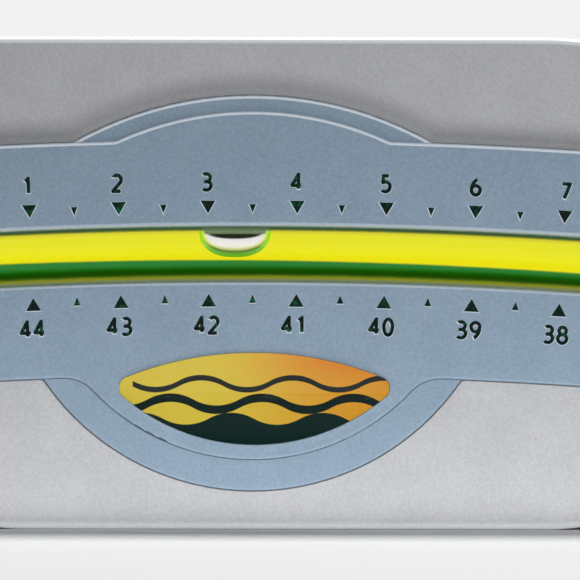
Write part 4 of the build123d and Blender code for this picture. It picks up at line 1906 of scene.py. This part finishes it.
    def make(self) -> None:
        """Builds and dresses the tube, the liquid, the bubble and the pieces at the ends."""
        wall = ClearWall(bend=self.bend, bore=self.bore, radius=self.radius, bubble=self.air)
        fit(self.tube(), wall, "vial_tube")
        fit(self.liquid(), GreenLiquid(bend=self.bend), "vial_fluid")
        fit(self.bubble(), BubbleSkin(bend=self.bend, bore=self.bore, bubble=self.air))
        plug = MouldedPlastic(name="plug_plastic", slot="black_plastic", colour=(16, 44, 22), roughness=0.45)
        seal = rubber("plug_seal_rubber", 0.7)
        for side in ("left", "right"):
            dress(f"vial_plug_{side}", plug)
            dress(f"plug_seal_{side}", seal)
            dress(f"vial_pad_{side}", seal)


def rubber(name: str, roughness: float) -> MouldedPlastic:
    """Finish of a seal or pad: dark rubber with a fine grain."""
    return MouldedPlastic(
        name=name, slot="seal_rubber", colour=(26, 26, 27), roughness=roughness, grain=0.3 * MM
    )


@dataclass
class Carrier:
    """Carrier behind the vial with its strip, screws and washers.

    Attributes:
        steel: finish of the screws and washers.
    """

    steel: PlatedMetal

    def make(self) -> None:
        """Dresses the carrier's nodes."""
        green = MouldedPlastic(
            name="carrier_plastic", slot="carrier_plastic", colour=(28, 72, 38), roughness=0.5
        )
        film = MouldedPlastic(
            name="reflector_film", slot="white_film", colour=(232, 234, 230), roughness=0.3, grain=0.8 * MM
        )
        dress("vial_carrier", green)
        dress("reflector_strip", film)
        dress("carrier_screws", self.steel)
        dress("carrier_washers", self.steel)


@dataclass
class Housing:
    """Moulded housing with its cover, seal, screws and inserts.

    Attributes:
        paint: finish of the housing.
        steel: finish of the screws.
    """

    paint: SprayedPaint
    steel: PlatedMetal

    def make(self) -> None:
        """Dresses the housing's nodes."""
        cover = MouldedPlastic(name="cover_plastic", slot="black_plastic", colour=(44, 46, 47))
        brass = PlatedMetal(
            name="turned_brass",
            slot="insert_brass",
            colour=(212, 176, 104),
            tarnish=(160, 122, 62),
            roughness=0.32,
        )
        dress("housing", self.paint)
        dress("rear_cover", cover)
        dress("cover_seal", rubber("cover_seal_rubber", 0.75))
        dress("cover_screws", self.steel)
        dress("cover_inserts", brass)
        dress("plate_screws", self.steel)


class Badge:
    """Lens-shaped badge: printed film, dark fields and a clear dome."""

    def make(self) -> None:
        """Dresses the film, its fields and the dome."""
        low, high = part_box("badge_film")
        dress("badge_film", PrintedGround(low=low, high=high))
        low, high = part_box("badge_print")
        dress("badge_print", PrintedInk(low=low, high=high))
        dress("badge_dome", PouredResin())


@dataclass(frozen=True, kw_only=True)
class Softbox:
    """Rectangular lamp that the camera doesn't see.

    Attributes:
        name: name of the lamp.
        place: middle of the lamp.
        aim: point that it faces.
        size: its width and height.
        power: its power in watts.
        mirrored: whether gloss shows it.
    """

    name: str
    place: Point
    aim: Point
    size: tuple[float, float]
    power: float
    mirrored: bool = False

    def make(self) -> None:
        """Adds the lamp."""
        lamp = bpy.data.lights.new(self.name, "AREA")
        lamp.shape = "RECTANGLE"
        lamp.size, lamp.size_y = self.size
        lamp.energy = self.power
        holder = bpy.data.objects.new(self.name, lamp)
        holder.location = self.place
        aim = Vector(self.aim) - Vector(self.place)
        holder.rotation_euler = aim.to_track_quat("-Z", "Y").to_euler()
        holder.visible_camera = False
        holder.visible_glossy = self.mirrored
        bpy.context.scene.collection.objects.link(holder)


@dataclass
class Studio:
    """Floor, pale surroundings, soft lamps and the camera.

    Attributes:
        view_width: width of the picture at the front of the plate.
        view_middle: X and Z of the picture's middle there.
        distance: from the camera to the front of the plate.
        roll: how far the camera is turned against the clock, in degrees.
        pale: colour of the surroundings.
        bounce: colour of the floor for the light that it throws back on the object.
        table: darker and lighter colour of the floor's clouds, as the camera sees them.
        cloud: size of those clouds.
        floor_reach: half the floor's width.
    """

    view_width: float = 117.4 * MM
    view_middle: tuple[float, float] = (7.6 * MM, 48.62 * MM)
    distance: float = 1.1
    roll: float = 0.1
    pale: Colour = (242, 242, 242)
    bounce: Colour = (150, 150, 150)
    table: tuple[Colour, Colour] = ((250, 250, 250), (252, 252, 252))
    cloud: float = 400 * MM
    floor_reach: float = 3.0

    def camera(self) -> None:
        """Adds the camera, level and square to the front of the plate."""
        lens = bpy.data.cameras.new("camera")
        lens.lens = lens.sensor_width * self.distance / self.view_width
        lens.clip_start = 0.01
        holder = bpy.data.objects.new("camera", lens)
        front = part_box("face_plate")[0].y
        spot = Matrix.Translation((self.view_middle[0], front - self.distance, self.view_middle[1]))
        turn = Matrix.Rotation(math.radians(-self.roll), 4, "Y") @ Matrix.Rotation(math.pi / 2, 4, "X")
        holder.matrix_world = spot @ turn
        bpy.context.scene.collection.objects.link(holder)
        bpy.context.scene.camera = holder

    def floor(self) -> None:
        """Adds the floor: one plane under the base, pale and matt."""
        reach = self.floor_reach
        corners = np.array([[-reach, -reach, 0], [reach, -reach, 0], [reach, reach, 0], [-reach, reach, 0]])
        piece = link(mesh_of("studio_floor", corners, np.array([[0, 1, 2, 3]])), "studio_floor")
        coat = Coat("studio_floor")
        pale = coat.mix(coat.noise(self.cloud), *self.table)
        seen = coat.output("ShaderNodeLightPath", index="Is Camera Ray")
        coat.set(Base_Color=coat.mix(seen, self.bounce, pale), Roughness=0.9)
        coat.open_to_lamps((255, 255, 255))
        piece.data.materials.append(coat.material)

    def surroundings(self) -> None:
        """Lights the world: pale to the camera, to gloss and through glass, and dark for all other light."""
        world = bpy.data.worlds.new("studio")
        bpy.context.scene.world = world
        world.use_nodes = True
        nodes = Nodes(world.node_tree)
        path = nodes.add("ShaderNodeLightPath")
        seen = Value(nodes, path.outputs["Is Camera Ray"])
        for name in ("Is Glossy Ray", "Is Transmission Ray"):
            seen = seen.higher(Value(nodes, path.outputs[name]))
        background = nodes.tree.nodes["Background"]
        nodes.join(background.inputs["Color"], linear(self.pale))
        nodes.join(background.inputs["Strength"], seen)

    def lamps(self) -> list[Softbox]:
        """The lamps: one overhead, two in front, and panels on the floor that act as a bright table.

        The narrow panels next to the base light its rounded foot.

        Returns:
            The lamps.
        """
        hung = [
            ("lamp_overhead", (0.0, 0.48, 1.5), (0.0, 0.0, 0.0), (0.9, 0.5), 21.5, True),
            ("lamp_high_front", (0.0, -0.6, 0.65), (0.0, 0.0, 0.05), (1.2, 0.15), 0.45, True),
            ("lamp_low_front", (0.2, -0.4, 0.035), (0.03, 0.0, 0.03), (0.6, 0.05), 0.8, False),
        ]
        laid = [
            ("lamp_table", (0.05, -0.045, 0.002), (0.5, 0.06), 0.14),
            ("lamp_foot", (0.03, -0.0165, 0.0008), (0.3, 0.007), 0.0026),
            ("lamp_base", (0.03, -0.0135, 0.0002), (0.3, 0.005), 0.0033),
            ("lamp_under_edge", (0.03, -0.0118, 0.0001), (0.3, 0.004), 0.0025),
        ]
        lamps = [
            Softbox(name=name, place=place, aim=aim, size=size, power=power, mirrored=mirrored)
            for name, place, aim, size, power, mirrored in hung
        ]
        for name, place, size, power in laid:
            straight_up = (place[0], place[1], 1.0)
            lamps.append(Softbox(name=name, place=place, aim=straight_up, size=size, power=power))
        return lamps

    def make(self) -> None:
        """Adds the camera, the floor, the surroundings and the lamps."""
        bpy.context.scene.view_settings.view_transform = "Standard"
        self.camera()
        self.floor()
        self.surroundings()
        for lamp in self.lamps():
            lamp.make()


def bend_of_vial(radius: float = 1026 * MM) -> Bend:
    """Finds the vial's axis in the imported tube, which reaches one tube radius above it and in front of it.

    Args:
        radius: radius of the bend.

    Returns:
        The axis, its height rounded to a tenth of a millimetre.
    """
    low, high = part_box("vial_tube")
    height = round((high.z - Vial.radius) / MM, 1) * MM
    return Bend(radius, height, low.y + Vial.radius)


def scales() -> tuple[DegreeScale, DegreeScale]:
    """Describes the two scales.

    Returns:
        The upper scale, which counts up, and the lower scale, which counts down to the right.
    """
    upper = DegreeScale(
        name="upper",
        first=0,
        step=1,
        mark_height=9.4 * MM,
        figure_height=14.5 * MM,
        figure_shift=-0.2 * MM,
        turn=Turn.DOWN,
    )
    lower = DegreeScale(
        name="lower",
        first=45,
        step=-1,
        mark_height=-9.45 * MM,
        figure_height=-14.5 * MM,
        figure_shift=-0.4 * MM,
        turn=Turn.UP,
    )
    return upper, lower


def main() -> None:
    """Builds and dresses every sub-assembly, then the studio."""
    logging.basicConfig(level=logging.INFO, format="%(name)s %(message)s")
    bend = bend_of_vial()
    # Both paints carry painted highlights on their rounded edges; the silver also has painted shade above
    # the plate, and the blue-grey painted shade at the foot of its lower edges.
    silver = SprayedPaint(
        name="silver_spray", slot="silver_paint", colour=(198, 199, 203), painted_shade=PaintedShade(PlateEdge(bend))
    )
    blue_grey = SprayedPaint(
        name="blue_grey_spray",
        slot="plate_paint",
        colour=(146, 168, 188),
        speck=(190, 206, 218),
        lightened=(232, 242, 252),
        foot_shade=0.9,
        lit_slot=bend,
    )
    steel = PlatedMetal(
        name="zinc_plate", slot="zinc_steel", colour=(196, 198, 200), tarnish=(150, 150, 146)
    )
    Housing(silver, steel).make()
    FacePlate(bend, scales()).make(blue_grey, InkedPaint())
    Vial(bend).make()
    Carrier(steel).make()
    Badge().make()
    Studio().make()


if __name__ == "__main__":
    main()
